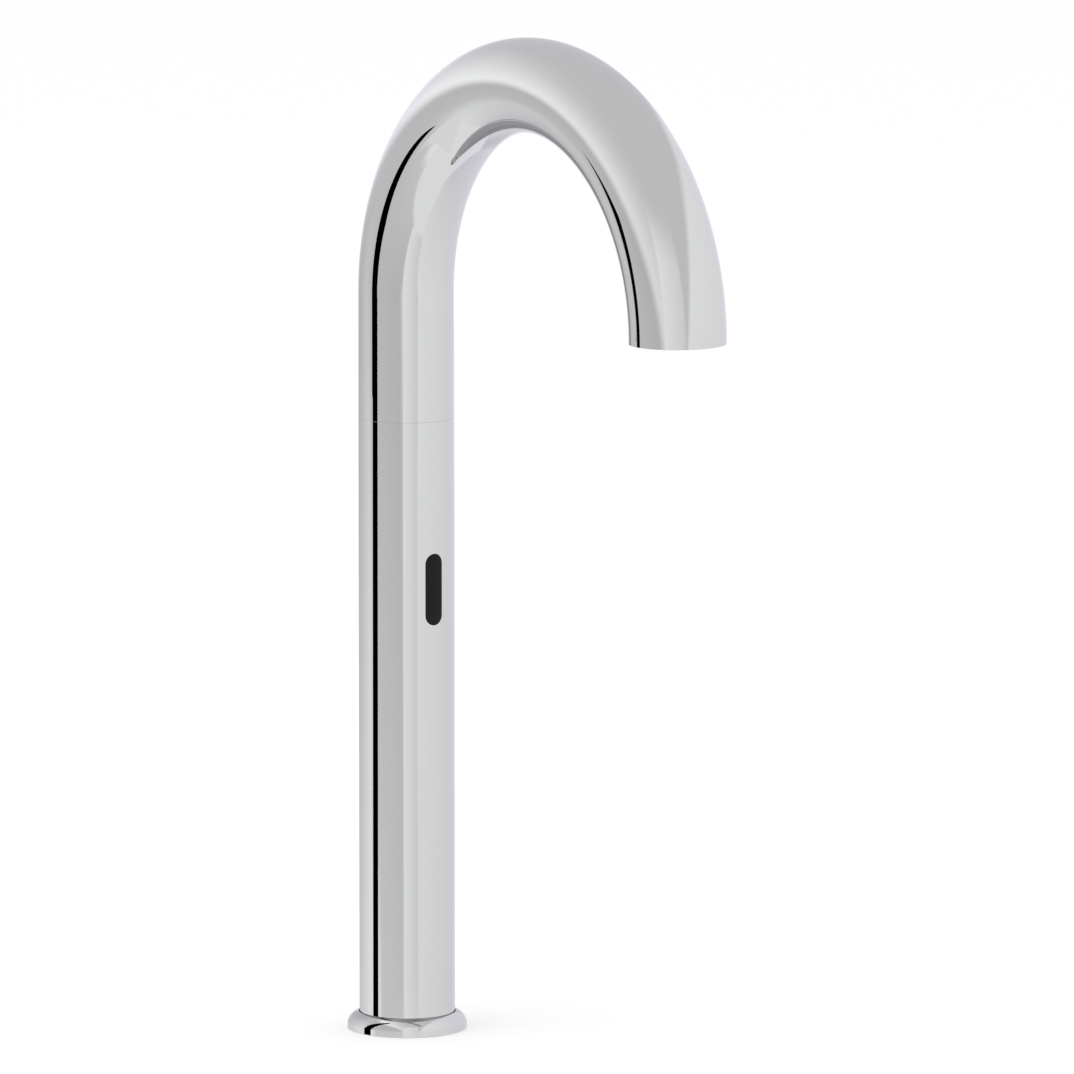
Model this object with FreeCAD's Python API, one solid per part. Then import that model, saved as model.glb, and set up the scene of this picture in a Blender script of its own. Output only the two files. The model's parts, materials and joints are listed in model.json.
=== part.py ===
import FreeCAD, Part
import math
import os

# Touch-free swan-neck basin tap. Millimetres, +Z up. The origin is the middle of the base ring's
# underside, at the deck's surface. The spout points to -Y, and the sensor looks the same way.

V = FreeCAD.Vector
UP = V(0, 0, 1)

# ---- Column and spout ----
column_r = 18.0
tube_wall = 2.0
column_top = 233.0            # the seam under the swivelling spout, above the deck
seam_gap = 0.3
spout_leg = 47.5              # straight part of the spout, from the seam to the arch
arch_r = 85.5                 # centre line of the half circle
inner_gap = 0.2               # between the column's bore and what stands in it
cut_over = 1.0                # how far a cutting shape goes past the surface that it opens

# ---- Base ring, and what clamps the tap to the deck ----
ring_r = 22.5
ring_h = 6.6
ring_band = 2.4               # upright edge below the dome
ring_dome_r = 6.4
ring_gap = 0.25               # dark line between ring and column
ring_lip = 2.6                # the column stands on this lip
gasket_depth = 1.2
gasket_width = 3.4
gasket_side_gap = 0.2
gasket_edge = 1.7             # from the gasket's groove to the ring's edge
shank_r = 14.0                # M28 x 1.5
shank_wall = 2.5
shank_chamfer = 1.0
shank_below = 55.0
shank_head_gap = 0.4
shank_head = 13.0
shank_gap = 0.3
thread_gap = 0.05             # between the two halves of a thread, which are plain here
deck_t = 20.0
washer_r = 22.0
rubber_washer_t = 3.0
metal_washer_t = 2.0
nut_h = 9.0
nut_flats = 36.0
nut_chamfer = 1.5

# ---- Sensor ----
sensor_drop = 63.5            # from the seam down to the middle of the window
window_w = 7.4
window_h = 27.0
window_gap = 0.2
window_recess = 0.1
window_t = 4.5                # from the column's surface to the window's flat back
flange_edge = 1.6
window_seal_t = 0.75
housing_riser_gap = 0.35      # from the housing to the riser beside it
housing_corner_gap = 0.2
housing_h = 38.0
housing_depth = 10.6
housing_wall = 1.2
housing_cover_t = 1.2
board_t = 1.0
board_set_back = 6.2          # from the housing's front to the board
board_gap = 0.3
diode_r = 2.0
diode_rise = 7.0              # each diode's height from the window's middle
diode_l = 4.4
diode_gap = 0.25
diode_tip_gap = 0.3
diode_leg_r = 0.25
leg_hole_gap = 0.05
chip_w = 5.0
chip_t = 1.0
resistor_w = 3.2
resistor_h = 1.6
resistor_t = 0.8
baffle_t = 1.2
cover_screw_r = 1.0
cover_screw_grip = 4.5
cover_head_r = 1.8
cover_head_h = 0.8
cover_slot_w = 0.4
cover_slot_floor = 0.4
sensor_entry_gap = 0.4
coil_entry_gap = 0.8
clip_w = 5.0
clip_t = 0.6
clip_foot = 16.0
clip_spread = 9.0
clip_pad = 5.0

# ---- Leads inside the column ----
lead_r = 1.5
coil_lead_r = 1.1
lead_to_wall = 1.0
lead_angle = 121.0
entry_gap = 0.1
arc_share = 0.45              # of the shorter run that an arc takes up
lead_rise = 5.0               # straight out of the power socket
lead_swing = 15.0             # height at which the lead has reached the wall
lead_leave = 34.0             # from where the leads leave the wall up to the sensor
lead_arrive = 14.0            # from their last bend up to the sensor
plug_r = 2.6                  # power socket in the foot
plug_flange = 1.2
plug_wall = 0.8
plug_angle = 145.0
pin_r = 0.5
pin_step = 2.0
pin_inset = 1.0

# ---- Water inlet ----
inlet_thread_r = 4.5          # M10 x 1
block_base = 11.0             # the inlet thread runs right through it
tower_h = 17.0
tower_inset = 1.1
cartridge_r = 5.5
cartridge_gap = 0.15
inlet_pocket = 1.5
screw_r = 1.5
screw_head_r = 2.4
screw_head_h = 2.4
screw_grip = 7.0              # length in the inlet block
screw_end_gap = 0.5
screw_key = 2.25
ear_r = 3.0
ear_wall_gap = 0.5
ear_h = 8.0
small_seal_r = 0.6            # section of the O-rings
seal_share = 0.98             # of its groove that an O-ring fills
filter_rim = 1.2
filter_mesh_t = 0.5
filter_rise = 5.0
check_body_l = 9.5
check_seat_t = 2.0
check_bore_r = 3.0
check_wall = 1.0
check_travel = 2.0
poppet_t = 1.2
poppet_stem_r = 0.9
poppet_end_gap = 0.8
guide_t = 1.5
guide_gap = 0.08
guide_hub_r = 2.0
guide_arm_w = 1.0
guide_arm_inset = 0.2
spring_wire = 0.4
spring_pitch = 1.8

# ---- Solenoid valve ----
riser_r = 3.5
riser_wall = 0.8
boss_wall = 1.4
riser_to_yoke = 1.0
yoke_w = 10.0
yoke_t = 1.0
yoke_wall_gap = 0.4
coil_gap = 0.6
valve_body_h = 20.0
valve_body_over_coil = 1.4
bonnet_seat = 6.0             # depth of the bonnet's socket in the valve body
seat_bore_r = 3.2
seat_wall = 1.2
seat_drop = 1.0               # the seat's lip below the diaphragm's rim
annulus_depth = 6.0
channel_r = 2.6
channel_drop = 8.9            # from the diaphragm's rim to the outlet channel
inlet_port_r = 1.3
port_to_seat = 0.15
port_angle = 65.0
bridge_rise = 1.0
riser_step = 0.5              # floor of the riser's socket above the channel
rim_w = 1.7
membrane_t = 1.0
web_t = 0.6
web_gap = 0.4                 # flat of the membrane beyond the plate
web_step = 0.3
plate_r = 4.4
plate_t = 1.5
plate_boss_r = 1.3
plate_boss_h = 1.0
pilot_r = 0.4
lift_room = 1.2               # the bonnet's hollow above the plate's boss, beyond its travel
plate_travel = 1.2
plunger_travel = 1.6
bonnet_flange = 2.0
bonnet_cap = 2.5
plunger_r = 3.4
plunger_l = 23.5
plunger_gap = 0.08
plunger_groove = 0.5
plunger_groove_rise = 3.0
plunger_seal_r = 1.8
plunger_seal_t = 1.5
core_wall = 0.9
core_flange_w = 1.6
core_flange_t = 1.0
core_l = 7.0
core_gap = 0.1
core_over_nut = 1.0
spring_bore_r = 2.2
spring_bore_depth = 8.0
coil_l = 21.5
terminal_w = 6.0
terminal_depth = 3.0
terminal_h = 8.0
terminal_drop = 2.0
terminal_root = 1.0
terminal_lead_in = 0.1
coil_nut_h = 4.0
coil_nut_flats = 11.0

# ---- Swivel ----
socket_l = 28.0
socket_flange_t = 0.7
socket_flange_w = 1.1
socket_floor = 3.0
chamber_h = 5.4
chamber_r = 5.0
cross_r = 2.6
cross_plug_l = 1.1
stem_r = 9.0
stem_gap = 0.05
stem_l = 19.5
stem_bore_r = 5.5
stem_head = 15.0
stem_end_gap = 0.8
washer_overlap = 1.2          # how far the swivel washer lies in the column's top
washer_in = 0.4
seal_first = 4.0              # the lower O-ring, from the stem's end
seal_step = 3.6
stem_seal_r = 0.9
bearing_h = 3.5
bearing_t = 1.2
bearing_from_top = 1.2
bearing_split = 1.0
set_screw_r = 2.0
set_screw_drop = 8.6          # from the seam down to the set screw
set_screw_recess = 0.4
dog_r = 1.5
dog_depth = 1.4
dog_end_gap = 0.2
dog_shoulder = 0.6
hex_socket_r = 1.1
hex_socket_depth = 2.0
swivel_deg = 60.0

# ---- Outlet ----
outlet_bore_depth = 6.0
outlet_bore_cut = 0.35
adapter_recess = 0.5
adapter_collar = 5.0
adapter_l = 14.0
adapter_gap = 0.1
adapter_wall_gap = 0.5
adapter_seal_r = 0.8
aerator_inset = 4.0           # from the spout's bore to the aerator's M24 x 1 thread
aerator_recess = 0.6
aerator_h = 9.0
aerator_wall = 1.8
aerator_lip = 1.2
notch_w = 2.4
notch_depth = 1.6
notch_inset = 0.4
notch_turn = 45.0
aerator_notches = 4
grid_t = 2.2
grid_rim = 1.0
cell_across = 2.1
cell_wall = 0.45
mixer_t = 1.2
mixer_hole_w = 1.1
mixer_holes = 12
mixer_set_back = 2.0
mixer_foot_w = 0.8
mixer_inner_ring = 0.45       # share of the disc's radius
mixer_outer_ring = 0.72
strainer_r = 7.6
strainer_t = 0.8
strainer_dome = 2.4
strainer_hole_w = 1.2
strainer_crown = 0.62         # share of the sieve's radius that is flat
strainer_ring = 0.4
strainer_holes = 6
aerator_seal_t = 1.4
aerator_seal_w = 2.2
loose_gap = 0.1

# ---- Places worked out from the sizes above ----
bore_r = column_r - tube_wall
arch_z = column_top + spout_leg
reach = 2 * arch_r
seam_low = column_top - seam_gap / 2
seam_high = column_top + seam_gap / 2
sensor_z = column_top - sensor_drop
fit_r = bore_r - inner_gap
aerator_r = bore_r - aerator_inset
shank_bore_r = shank_r - shank_wall
head_z = ring_lip + shank_head_gap
block_z = head_z + shank_head
tower_z = block_z + block_base
valve_z = tower_z + tower_h
valve_top = valve_z + valve_body_h
rim_z = valve_top - bonnet_seat
boss_r = riser_r + thread_gap + boss_wall
riser_x = boss_r - fit_r
housing_beside_riser = -riser_x - riser_r - housing_riser_gap
housing_in_bore = math.sqrt((bore_r - housing_corner_gap) ** 2 - (column_r - window_t) ** 2)
housing_w = 2 * min(housing_beside_riser, housing_in_bore)
yoke_left = riser_x + riser_r + riser_to_yoke
yoke_right = math.sqrt((bore_r - yoke_wall_gap) ** 2 - yoke_w ** 2 / 4)
valve_x = (yoke_left + yoke_right) / 2
yoke_half = (yoke_right - yoke_left) / 2
coil_r = yoke_half - yoke_t - coil_gap
valve_r = coil_r + valve_body_over_coil
tower_r = valve_r - tower_inset
pocket_r = valve_r - 2 * tower_inset - 2 * small_seal_r
ear_y = math.sqrt((fit_r + inner_gap - ear_wall_gap - ear_r) ** 2 - valve_x ** 2)
lead_reach = bore_r - lead_to_wall - lead_r
lead_x = lead_reach * math.cos(math.radians(lead_angle))
lead_y = lead_reach * math.sin(math.radians(lead_angle))
plug_reach = shank_bore_r - plug_r - inner_gap
plug_x = plug_reach * math.cos(math.radians(plug_angle))
plug_y = plug_reach * math.sin(math.radians(plug_angle))


# ---- Shapes used by several pieces ----

def rod(r, z0, z1, x=0.0, y=0.0):
    return Part.makeCylinder(r, z1 - z0, V(x, y, z0))


def tube(r_out, r_in, z0, z1, x=0.0, y=0.0):
    return rod(r_out, z0, z1, x, y).cut(rod(r_in, z0, z1, x, y))


def block(x0, x1, y0, y1, z0, z1):
    return Part.makeBox(x1 - x0, y1 - y0, z1 - z0, V(x0, y0, z0))


def turned(outline, x=0.0, y=0.0):
    # an outline of (radius, height) points turned about an upright axis
    points = [V(r, 0, z) for r, z in outline]
    face = Part.Face(Part.makePolygon(points + points[:1]))
    solid = face.revolve(V(0, 0, 0), UP, 360)
    solid.translate(V(x, y, 0))
    return solid


def joined(first, *others):
    return first.multiFuse(list(others)).removeSplitter()


def round_seal(mean_r, section_r, z, x=0.0, y=0.0):
    # ring with an eight-sided section, flat where it is squeezed
    corner = section_r / math.cos(math.pi / 8)
    angles = [math.pi / 8 + math.pi / 4 * i for i in range(8)]
    ring = turned([(mean_r + corner * math.cos(a), z + corner * math.sin(a)) for a in angles])
    ring.translate(V(x, y, 0))
    return ring


def hexagon(flats, z0, z1, x=0.0, y=0.0, turn=0.0):
    corner = flats / math.sqrt(3)
    angles = [math.radians(turn + 60 * i) for i in range(7)]
    points = [V(x + corner * math.cos(a), y + corner * math.sin(a), z0) for a in angles]
    return Part.Face(Part.makePolygon(points)).extrude(V(0, 0, z1 - z0))


def upright_slot(width, height, y0, y1):
    # obround block along Y, about the middle of the sensor window
    r = width / 2
    straight = height / 2 - r
    middle = block(-r, r, y0, y1, sensor_z - straight, sensor_z + straight)
    top = Part.makeCylinder(r, y1 - y0, V(0, y0, sensor_z + straight), V(0, 1, 0))
    bottom = Part.makeCylinder(r, y1 - y0, V(0, y0, sensor_z - straight), V(0, 1, 0))
    return joined(middle, top, bottom)


def along(points, r):
    # round rod along straight runs that are joined by tangent arcs
    turns = []
    for i in range(1, len(points) - 1):
        before = points[i] - points[i - 1]
        after = points[i + 1] - points[i]
        half = before.getAngle(after) / 2
        radius = arc_share * min(before.Length, after.Length) / math.tan(half)
        turns.append((before.normalize(), after.normalize(), radius, half))
    pieces = []
    start = points[0]
    for point, (before, after, radius, half) in zip(points[1:], turns):
        setback = radius * math.tan(half)
        end = point - before * setback
        pieces.append(Part.makeCylinder(r, (end - start).Length, start, before))
        axis = before.cross(after).normalize()
        centre = end + axis.cross(before) * radius
        disc = Part.Face(Part.Wire(Part.makeCircle(r, end, before)))
        pieces.append(disc.revolve(centre, axis, math.degrees(2 * half)))
        start = point + after * setback
    last = points[-1] - start
    pieces.append(Part.makeCylinder(r, last.Length, start, last))
    return joined(*pieces)


def coil_spring(mean_r, z0, z1, x=0.0, y=0.0):
    # square wire, with its ends cut off flat
    turns = max(3, round((z1 - z0) / spring_pitch))
    half = spring_wire / 2
    height = z1 - z0 - spring_wire
    helix = Part.makeHelix(height / turns, height, mean_r)
    corners = [(-half, -half), (half, -half), (half, half), (-half, half), (-half, -half)]
    section = Part.makePolygon([V(mean_r + a, 0, b) for a, b in corners])
    spring = Part.Wire(helix).makePipeShell([section], True, True)
    spring.translate(V(x, y, z0 + half))
    return spring


# ---- Foot ----

def base_ring():
    top_r = column_r + ring_gap
    foot = V(ring_r, 0, ring_band)
    crown = V(top_r, 0, ring_h)
    chord = crown - foot
    sag = ring_dome_r - math.sqrt(ring_dome_r ** 2 - chord.Length ** 2 / 4)
    outward = V(chord.z, 0, -chord.x).normalize()
    dome = Part.Arc(foot, foot + chord / 2 + outward * sag, crown)
    groove_out = ring_r - gasket_edge
    groove_in = groove_out - gasket_width
    inside = shank_r + shank_gap
    rest = [
        (top_r, ring_h), (top_r, ring_lip), (inside, ring_lip), (inside, 0),
        (groove_in, 0), (groove_in, gasket_depth), (groove_out, gasket_depth), (groove_out, 0),
        (ring_r, 0), (ring_r, ring_band),
    ]
    edges = [dome.toShape()]
    for (r0, z0), (r1, z1) in zip(rest, rest[1:]):
        edges.append(Part.makeLine(V(r0, 0, z0), V(r1, 0, z1)))
    profile = Part.Face(Part.Wire(Part.__sortEdges__(edges)))
    return profile.revolve(V(0, 0, 0), UP, 360)


def deck_gasket():
    outer = ring_r - gasket_edge - gasket_side_gap
    inner = ring_r - gasket_edge - gasket_width + gasket_side_gap
    return tube(outer, inner, 0, gasket_depth)


def mounting_shank():
    outline = [
        (shank_bore_r, -shank_below), (shank_r - shank_chamfer, -shank_below),
        (shank_r, shank_chamfer - shank_below), (shank_r, head_z),
        (bore_r - thread_gap, head_z), (bore_r - thread_gap, block_z), (shank_bore_r, block_z),
    ]
    return turned(outline)


def under_deck_washer(top, thickness):
    return tube(washer_r, shank_r + shank_gap, top - thickness, top)


def mounting_nut():
    top = -deck_t - rubber_washer_t - metal_washer_t
    body = hexagon(nut_flats, top - nut_h, top)
    corner = nut_flats / math.sqrt(3)
    cone = turned([
        (0, top - nut_h), (corner - nut_chamfer, top - nut_h), (corner, top - nut_h + nut_chamfer),
        (corner, top), (0, top),
    ])
    return body.common(cone).cut(rod(shank_r + thread_gap, top - nut_h, top))


def column_tube():
    body = tube(column_r, bore_r, ring_lip, seam_low)
    seat = rod(bore_r + socket_flange_w, seam_low - washer_overlap, seam_low)
    window = upright_slot(
        window_w + 2 * window_gap, window_h + 2 * window_gap, -column_r - cut_over, -bore_r + tube_wall)
    return body.cut(seat).cut(window).cut(set_screw_hole())


def set_screw_hole():
    z = column_top - set_screw_drop
    r = set_screw_r + thread_gap
    return Part.makeCylinder(r, column_r, V(0, stem_r - dog_depth, z), V(0, 1, 0))


# ---- Water inlet ----

def ears(z0, z1, r):
    return [rod(r, z0, z1, valve_x, side * ear_y) for side in (-1, 1)]


def ear_webs(z0, z1):
    return block(valve_x - ear_r, valve_x + ear_r, -ear_y, ear_y, z0, z1)


def inlet_block():
    base = rod(fit_r, block_z, tower_z)
    tower = rod(tower_r, block_z, valve_z, valve_x)
    ear_z = valve_z - ear_h
    body = joined(base, tower, ear_webs(ear_z, valve_z), *ears(ear_z, valve_z, ear_r))
    body = body.cut(rod(inlet_thread_r, block_z, tower_z, valve_x))
    body = body.cut(rod(cartridge_r, tower_z, valve_z, valve_x))
    body = body.cut(rod(pocket_r, valve_z - inlet_pocket, valve_z, valve_x))
    body = body.cut(seal_groove(valve_z - small_seal_r, valve_z))
    body = body.cut(rod(plug_r + entry_gap, block_z, tower_z, plug_x, plug_y))
    flange_top = tower_z + plug_flange + entry_gap
    body = body.cut(rod(plug_r + 2 * entry_gap, tower_z, flange_top, plug_x, plug_y))
    for hole in ears(valve_z - screw_grip, valve_z, screw_r + thread_gap):
        body = body.cut(hole)
    return body


def seal_groove(z0, z1):
    middle = (pocket_r + tower_r) / 2
    return tube(middle + small_seal_r, middle - small_seal_r, z0 - small_seal_r, z1, valve_x)


def valve_seal():
    middle = (pocket_r + tower_r) / 2
    return round_seal(middle, small_seal_r, valve_z - small_seal_r, valve_x)


def inlet_filter():
    z0 = tower_z
    rim_out = cartridge_r - cartridge_gap
    cup_r = inlet_thread_r - filter_mesh_t
    rim = tube(rim_out, cup_r - filter_mesh_t, z0, z0 + filter_rim, valve_x)
    wall = tube(cup_r, cup_r - filter_mesh_t, z0, z0 + filter_rise, valve_x)
    lid = rod(cup_r, z0 + filter_rise - filter_mesh_t, z0 + filter_rise, valve_x)
    return joined(rim, wall, lid)


def check_levels():
    top = valve_z - inlet_pocket
    return top - check_body_l, top


def check_valve_body():
    z0, z1 = check_levels()
    outside = cartridge_r - cartridge_gap
    body = tube(outside, outside - check_wall, z0, z1, valve_x)
    seat = tube(cartridge_r - check_wall, check_bore_r, z0, z0 + check_seat_t, valve_x)
    groove_z = z0 + check_seat_t / 2
    groove = tube(cartridge_r, cartridge_r - 2 * small_seal_r, groove_z - small_seal_r,
                  groove_z + small_seal_r, valve_x)
    return joined(body, seat).cut(groove)


def check_valve_seal():
    z0 = check_levels()[0]
    return round_seal(cartridge_r - small_seal_r, small_seal_r * seal_share, z0 + check_seat_t / 2, valve_x)


def check_valve_poppet():
    z0, z1 = check_levels()
    low = z0 + check_seat_t
    disc = rod((check_bore_r + cartridge_r - check_wall) / 2, low, low + poppet_t, valve_x)
    stem_top = z1 + inlet_pocket - check_travel - poppet_end_gap
    stem = rod(poppet_stem_r, low, stem_top, valve_x)
    return joined(disc, stem)


def check_valve_guide():
    z1 = check_levels()[1]
    rim_r = cartridge_r - check_wall - cartridge_gap
    rim = tube(rim_r, rim_r - check_wall / 2, z1 - guide_t, z1, valve_x)
    hub = rod(guide_hub_r, z1 - guide_t, z1, valve_x)
    reach_out = rim_r - guide_arm_inset
    half = guide_arm_w / 2
    arm = block(valve_x - reach_out, valve_x + reach_out, -half, half, z1 - guide_t, z1)
    cross = block(valve_x - half, valve_x + half, -reach_out, reach_out, z1 - guide_t, z1)
    hole = rod(poppet_stem_r + guide_gap, z1 - guide_t, z1, valve_x)
    return joined(rim, hub, arm, cross).cut(hole)


def check_valve_spring():
    z0, z1 = check_levels()
    return coil_spring(poppet_stem_r + 2 * spring_wire, z0 + check_seat_t + poppet_t, z1 - guide_t, valve_x)


def power_socket():
    body = rod(plug_r, block_z, tower_z, plug_x, plug_y)
    mouth = rod(plug_r - plug_wall, block_z, block_z + block_base / 2, plug_x, plug_y)
    flange = rod(plug_r + entry_gap, tower_z, tower_z + plug_flange, plug_x, plug_y)
    pins = [
        rod(pin_r, block_z + pin_inset, tower_z - pin_inset, plug_x + side * pin_step / 2, plug_y)
        for side in (-1, 1)
    ]
    return joined(body.cut(mouth), flange, *pins)


# ---- Solenoid valve ----

def valve_body():
    floor_z = rim_z - annulus_depth
    channel_z = rim_z - channel_drop
    rim_in = valve_r - tower_inset - rim_w
    body = joined(
        rod(valve_r, valve_z, valve_top, valve_x),
        ear_webs(valve_z, valve_top),
        *ears(valve_z, valve_top, ear_r),
    )
    boss = rod(boss_r, valve_z + bridge_rise, rim_z, riser_x)
    bridge = block(riser_x, valve_x, -boss_r, boss_r, valve_z + bridge_rise, rim_z)
    body = joined(body, boss, bridge)
    body = body.cut(rod(valve_r - tower_inset, rim_z, valve_top, valve_x))
    chamber = tube(rim_in, seat_bore_r + seat_wall, floor_z, rim_z, valve_x)
    body = body.cut(chamber)
    body = body.cut(rod(seat_bore_r + seat_wall, rim_z - seat_drop, rim_z, valve_x))
    body = body.cut(rod(seat_bore_r, channel_z, rim_z, valve_x))
    side = Part.makeCylinder(channel_r, valve_x - riser_x, V(riser_x, 0, channel_z), V(1, 0, 0))
    body = body.cut(side)
    body = body.cut(rod(riser_r - riser_wall, channel_z, rim_z, riser_x))
    socket_z = channel_z + channel_r + riser_step
    body = body.cut(rod(riser_r + thread_gap, socket_z, rim_z, riser_x))
    port_reach = seat_bore_r + seat_wall + port_to_seat + inlet_port_r
    for degrees in (0, port_angle, -port_angle):
        x = valve_x + port_reach * math.cos(math.radians(degrees))
        y = port_reach * math.sin(math.radians(degrees))
        body = body.cut(rod(inlet_port_r, valve_z, rim_z, x, y))
    for hole in ears(valve_z, valve_top, screw_r + thread_gap):
        body = body.cut(hole)
    return body


def diaphragm_membrane():
    rim_out = valve_r - tower_inset - loose_gap
    rim_in = valve_r - tower_inset - rim_w
    low = rim_z - seat_drop
    web_in = plate_r + web_gap
    fold = (web_in + rim_in) / 2
    outline = [
        (0, low), (web_in, low), (fold, low - web_t), (rim_in - loose_gap, rim_z), (rim_out, rim_z),
        (rim_out, rim_z + membrane_t), (rim_in - web_step, rim_z + membrane_t),
        (rim_in - 2 * web_step, rim_z + web_t), (fold, low + web_t / 2),
        (web_in - loose_gap, low + membrane_t), (0, low + membrane_t),
    ]
    return turned(outline, valve_x).cut(rod(pilot_r, low, low + membrane_t, valve_x))


def plate_top():
    return rim_z - seat_drop + membrane_t + plate_t + plate_boss_h


def diaphragm_plate():
    low = rim_z - seat_drop + membrane_t
    disc = rod(plate_r, low, low + plate_t, valve_x)
    boss = rod(plate_boss_r, low, plate_top(), valve_x)
    return joined(disc, boss).cut(rod(pilot_r, low, plate_top(), valve_x))


def bonnet_levels():
    low = rim_z + membrane_t
    ceiling = plate_top() + plate_travel + lift_room
    top = max(valve_top + bonnet_flange, ceiling + core_flange_t + bonnet_cap)
    return low, ceiling, top


def valve_bonnet():
    low, ceiling, top = bonnet_levels()
    skirt = rod(valve_r - tower_inset - loose_gap, low, top, valve_x)
    flange = joined(
        rod(valve_r, valve_top, top, valve_x), ear_webs(valve_top, top), *ears(valve_top, top, ear_r))
    body = joined(skirt, flange)
    body = body.cut(rod(valve_r - tower_inset - rim_w, low, ceiling, valve_x))
    tube_out = plunger_r + plunger_gap + core_wall
    body = body.cut(rod(tube_out + core_flange_w + loose_gap, ceiling, ceiling + core_flange_t, valve_x))
    body = body.cut(rod(tube_out + loose_gap, ceiling, top, valve_x))
    for hole in ears(valve_top, top, screw_r + thread_gap):
        body = body.cut(hole)
    return body


def valve_screws():
    top = bonnet_levels()[2]
    screws = []
    for side in (-1, 1):
        y = side * ear_y
        screw = joined(
            rod(screw_r, valve_z - screw_grip + screw_end_gap, top, valve_x, y),
            rod(screw_head_r, top, top + screw_head_h, valve_x, y),
        )
        recess = hexagon(screw_key, top + screw_head_h / 2, top + screw_head_h, valve_x, y)
        screws.append(screw.cut(recess))
    return Part.makeCompound(screws)


def plunger_levels():
    low = plate_top()
    return low, low + plunger_l


def core_levels():
    low = plunger_levels()[1] + plunger_travel + core_gap
    return low, low + core_l


def coil_nut_levels():
    low = bonnet_levels()[2] + 2 * yoke_t + coil_l
    return low, low + coil_nut_h


def core_tube():
    tube_in = plunger_r + plunger_gap
    tube_out = tube_in + core_wall
    low = bonnet_levels()[1]
    top = max(core_levels()[1], coil_nut_levels()[1] + core_over_nut)
    flange = tube(tube_out + core_flange_w, tube_in, low, low + core_flange_t, valve_x)
    return joined(flange, tube(tube_out, tube_in, low, top, valve_x))


def fixed_core():
    low, top = core_levels()
    return rod(plunger_r + plunger_gap, low, top, valve_x)


def plunger():
    low, top = plunger_levels()
    body = rod(plunger_r, low, top, valve_x)
    body = body.cut(rod(plunger_seal_r, low, low + plunger_seal_t, valve_x))
    body = body.cut(rod(spring_bore_r, top - spring_bore_depth, top, valve_x))
    slot = block(
        valve_x - plunger_r, valve_x + plunger_r, plunger_r - plunger_groove, plunger_r,
        low + plunger_groove_rise, top)
    return body.cut(slot)


def plunger_seal():
    low = plunger_levels()[0]
    return rod(plunger_seal_r, low, low + plunger_seal_t, valve_x)


def plunger_spring():
    top = plunger_levels()[1]
    mean_r = spring_bore_r - spring_wire
    return coil_spring(mean_r, top - spring_bore_depth, core_levels()[0], valve_x)


def solenoid_coil():
    low = bonnet_levels()[2] + yoke_t
    top = low + coil_l
    inside = plunger_r + plunger_gap + core_wall + loose_gap
    body = tube(coil_r, inside, low, top, valve_x)
    terminal_top = top - terminal_drop
    terminal = block(
        valve_x - terminal_w / 2, valve_x + terminal_w / 2, coil_r - terminal_root,
        coil_r + terminal_depth, terminal_top - terminal_h, terminal_top)
    entry = rod(
        coil_lead_r + entry_gap, terminal_top - terminal_h / 2, terminal_top, valve_x, coil_lead_y())
    return joined(body, terminal).cut(entry)


def coil_lead_y():
    return coil_r + terminal_depth / 2 - terminal_lead_in


def coil_yoke():
    low = bonnet_levels()[2]
    top = low + coil_l + 2 * yoke_t
    inside = plunger_r + plunger_gap + core_wall + loose_gap
    x0 = valve_x - yoke_half
    x1 = valve_x + yoke_half
    half = yoke_w / 2
    shell = block(x0, x1, -half, half, low, top)
    room = block(x0 + yoke_t, x1 - yoke_t, -half, half, low + yoke_t, top - yoke_t)
    return shell.cut(room).cut(rod(inside, low, top, valve_x))


def coil_nut():
    low, top = coil_nut_levels()
    inside = plunger_r + plunger_gap + core_wall + thread_gap
    return hexagon(coil_nut_flats, low, top, valve_x).cut(rod(inside, low, top, valve_x))


# ---- Riser and swivel ----

def socket_levels():
    flange_low = seam_low - washer_overlap
    return flange_low - socket_l, flange_low, flange_low + socket_flange_t


def riser_tube():
    low = rim_z - channel_drop + channel_r + riser_step
    top = socket_levels()[0] + socket_floor
    return tube(riser_r, riser_r - riser_wall, low, top, riser_x)


def spout_socket():
    low, flange_low, top = socket_levels()
    body = joined(rod(fit_r, low, top), rod(bore_r + socket_flange_w - loose_gap, flange_low, top))
    chamber_low = low + socket_floor
    chamber_top = chamber_low + chamber_h
    body = body.cut(rod(chamber_r, chamber_low, chamber_top))
    body = body.cut(rod(stem_r, chamber_top, top))
    body = body.cut(rod(riser_r + thread_gap, low, chamber_low, riser_x))
    body = body.cut(rod(riser_r - riser_wall, chamber_low, chamber_low + cross_r, riser_x))
    cross_z = chamber_low + chamber_h / 2
    body = body.cut(Part.makeCylinder(
        cross_r, fit_r + cut_over, V(-fit_r - cut_over, 0, cross_z), V(1, 0, 0)))
    return body.cut(set_screw_hole())


def passage_plug():
    cross_z = socket_levels()[0] + socket_floor + chamber_h / 2
    end = fit_r - (fit_r - math.sqrt(fit_r ** 2 - cross_r ** 2)) - loose_gap
    return Part.makeCylinder(cross_r, cross_plug_l, V(-end, 0, cross_z), V(1, 0, 0))


def swivel_washer():
    low = socket_levels()[2]
    return tube(bore_r + socket_flange_w - loose_gap, stem_r + washer_in, low, seam_high)


def stem_levels():
    low = socket_levels()[0] + socket_floor + chamber_h + stem_end_gap
    return low, seam_high, seam_high + stem_head


def seal_heights():
    low = stem_levels()[0]
    return [low + seal_first, low + seal_first + seal_step]


def seal_track(z):
    running = stem_r - stem_gap
    return tube(running + cut_over, running - 2 * stem_seal_r + stem_gap, z - stem_seal_r, z + stem_seal_r)


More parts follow.
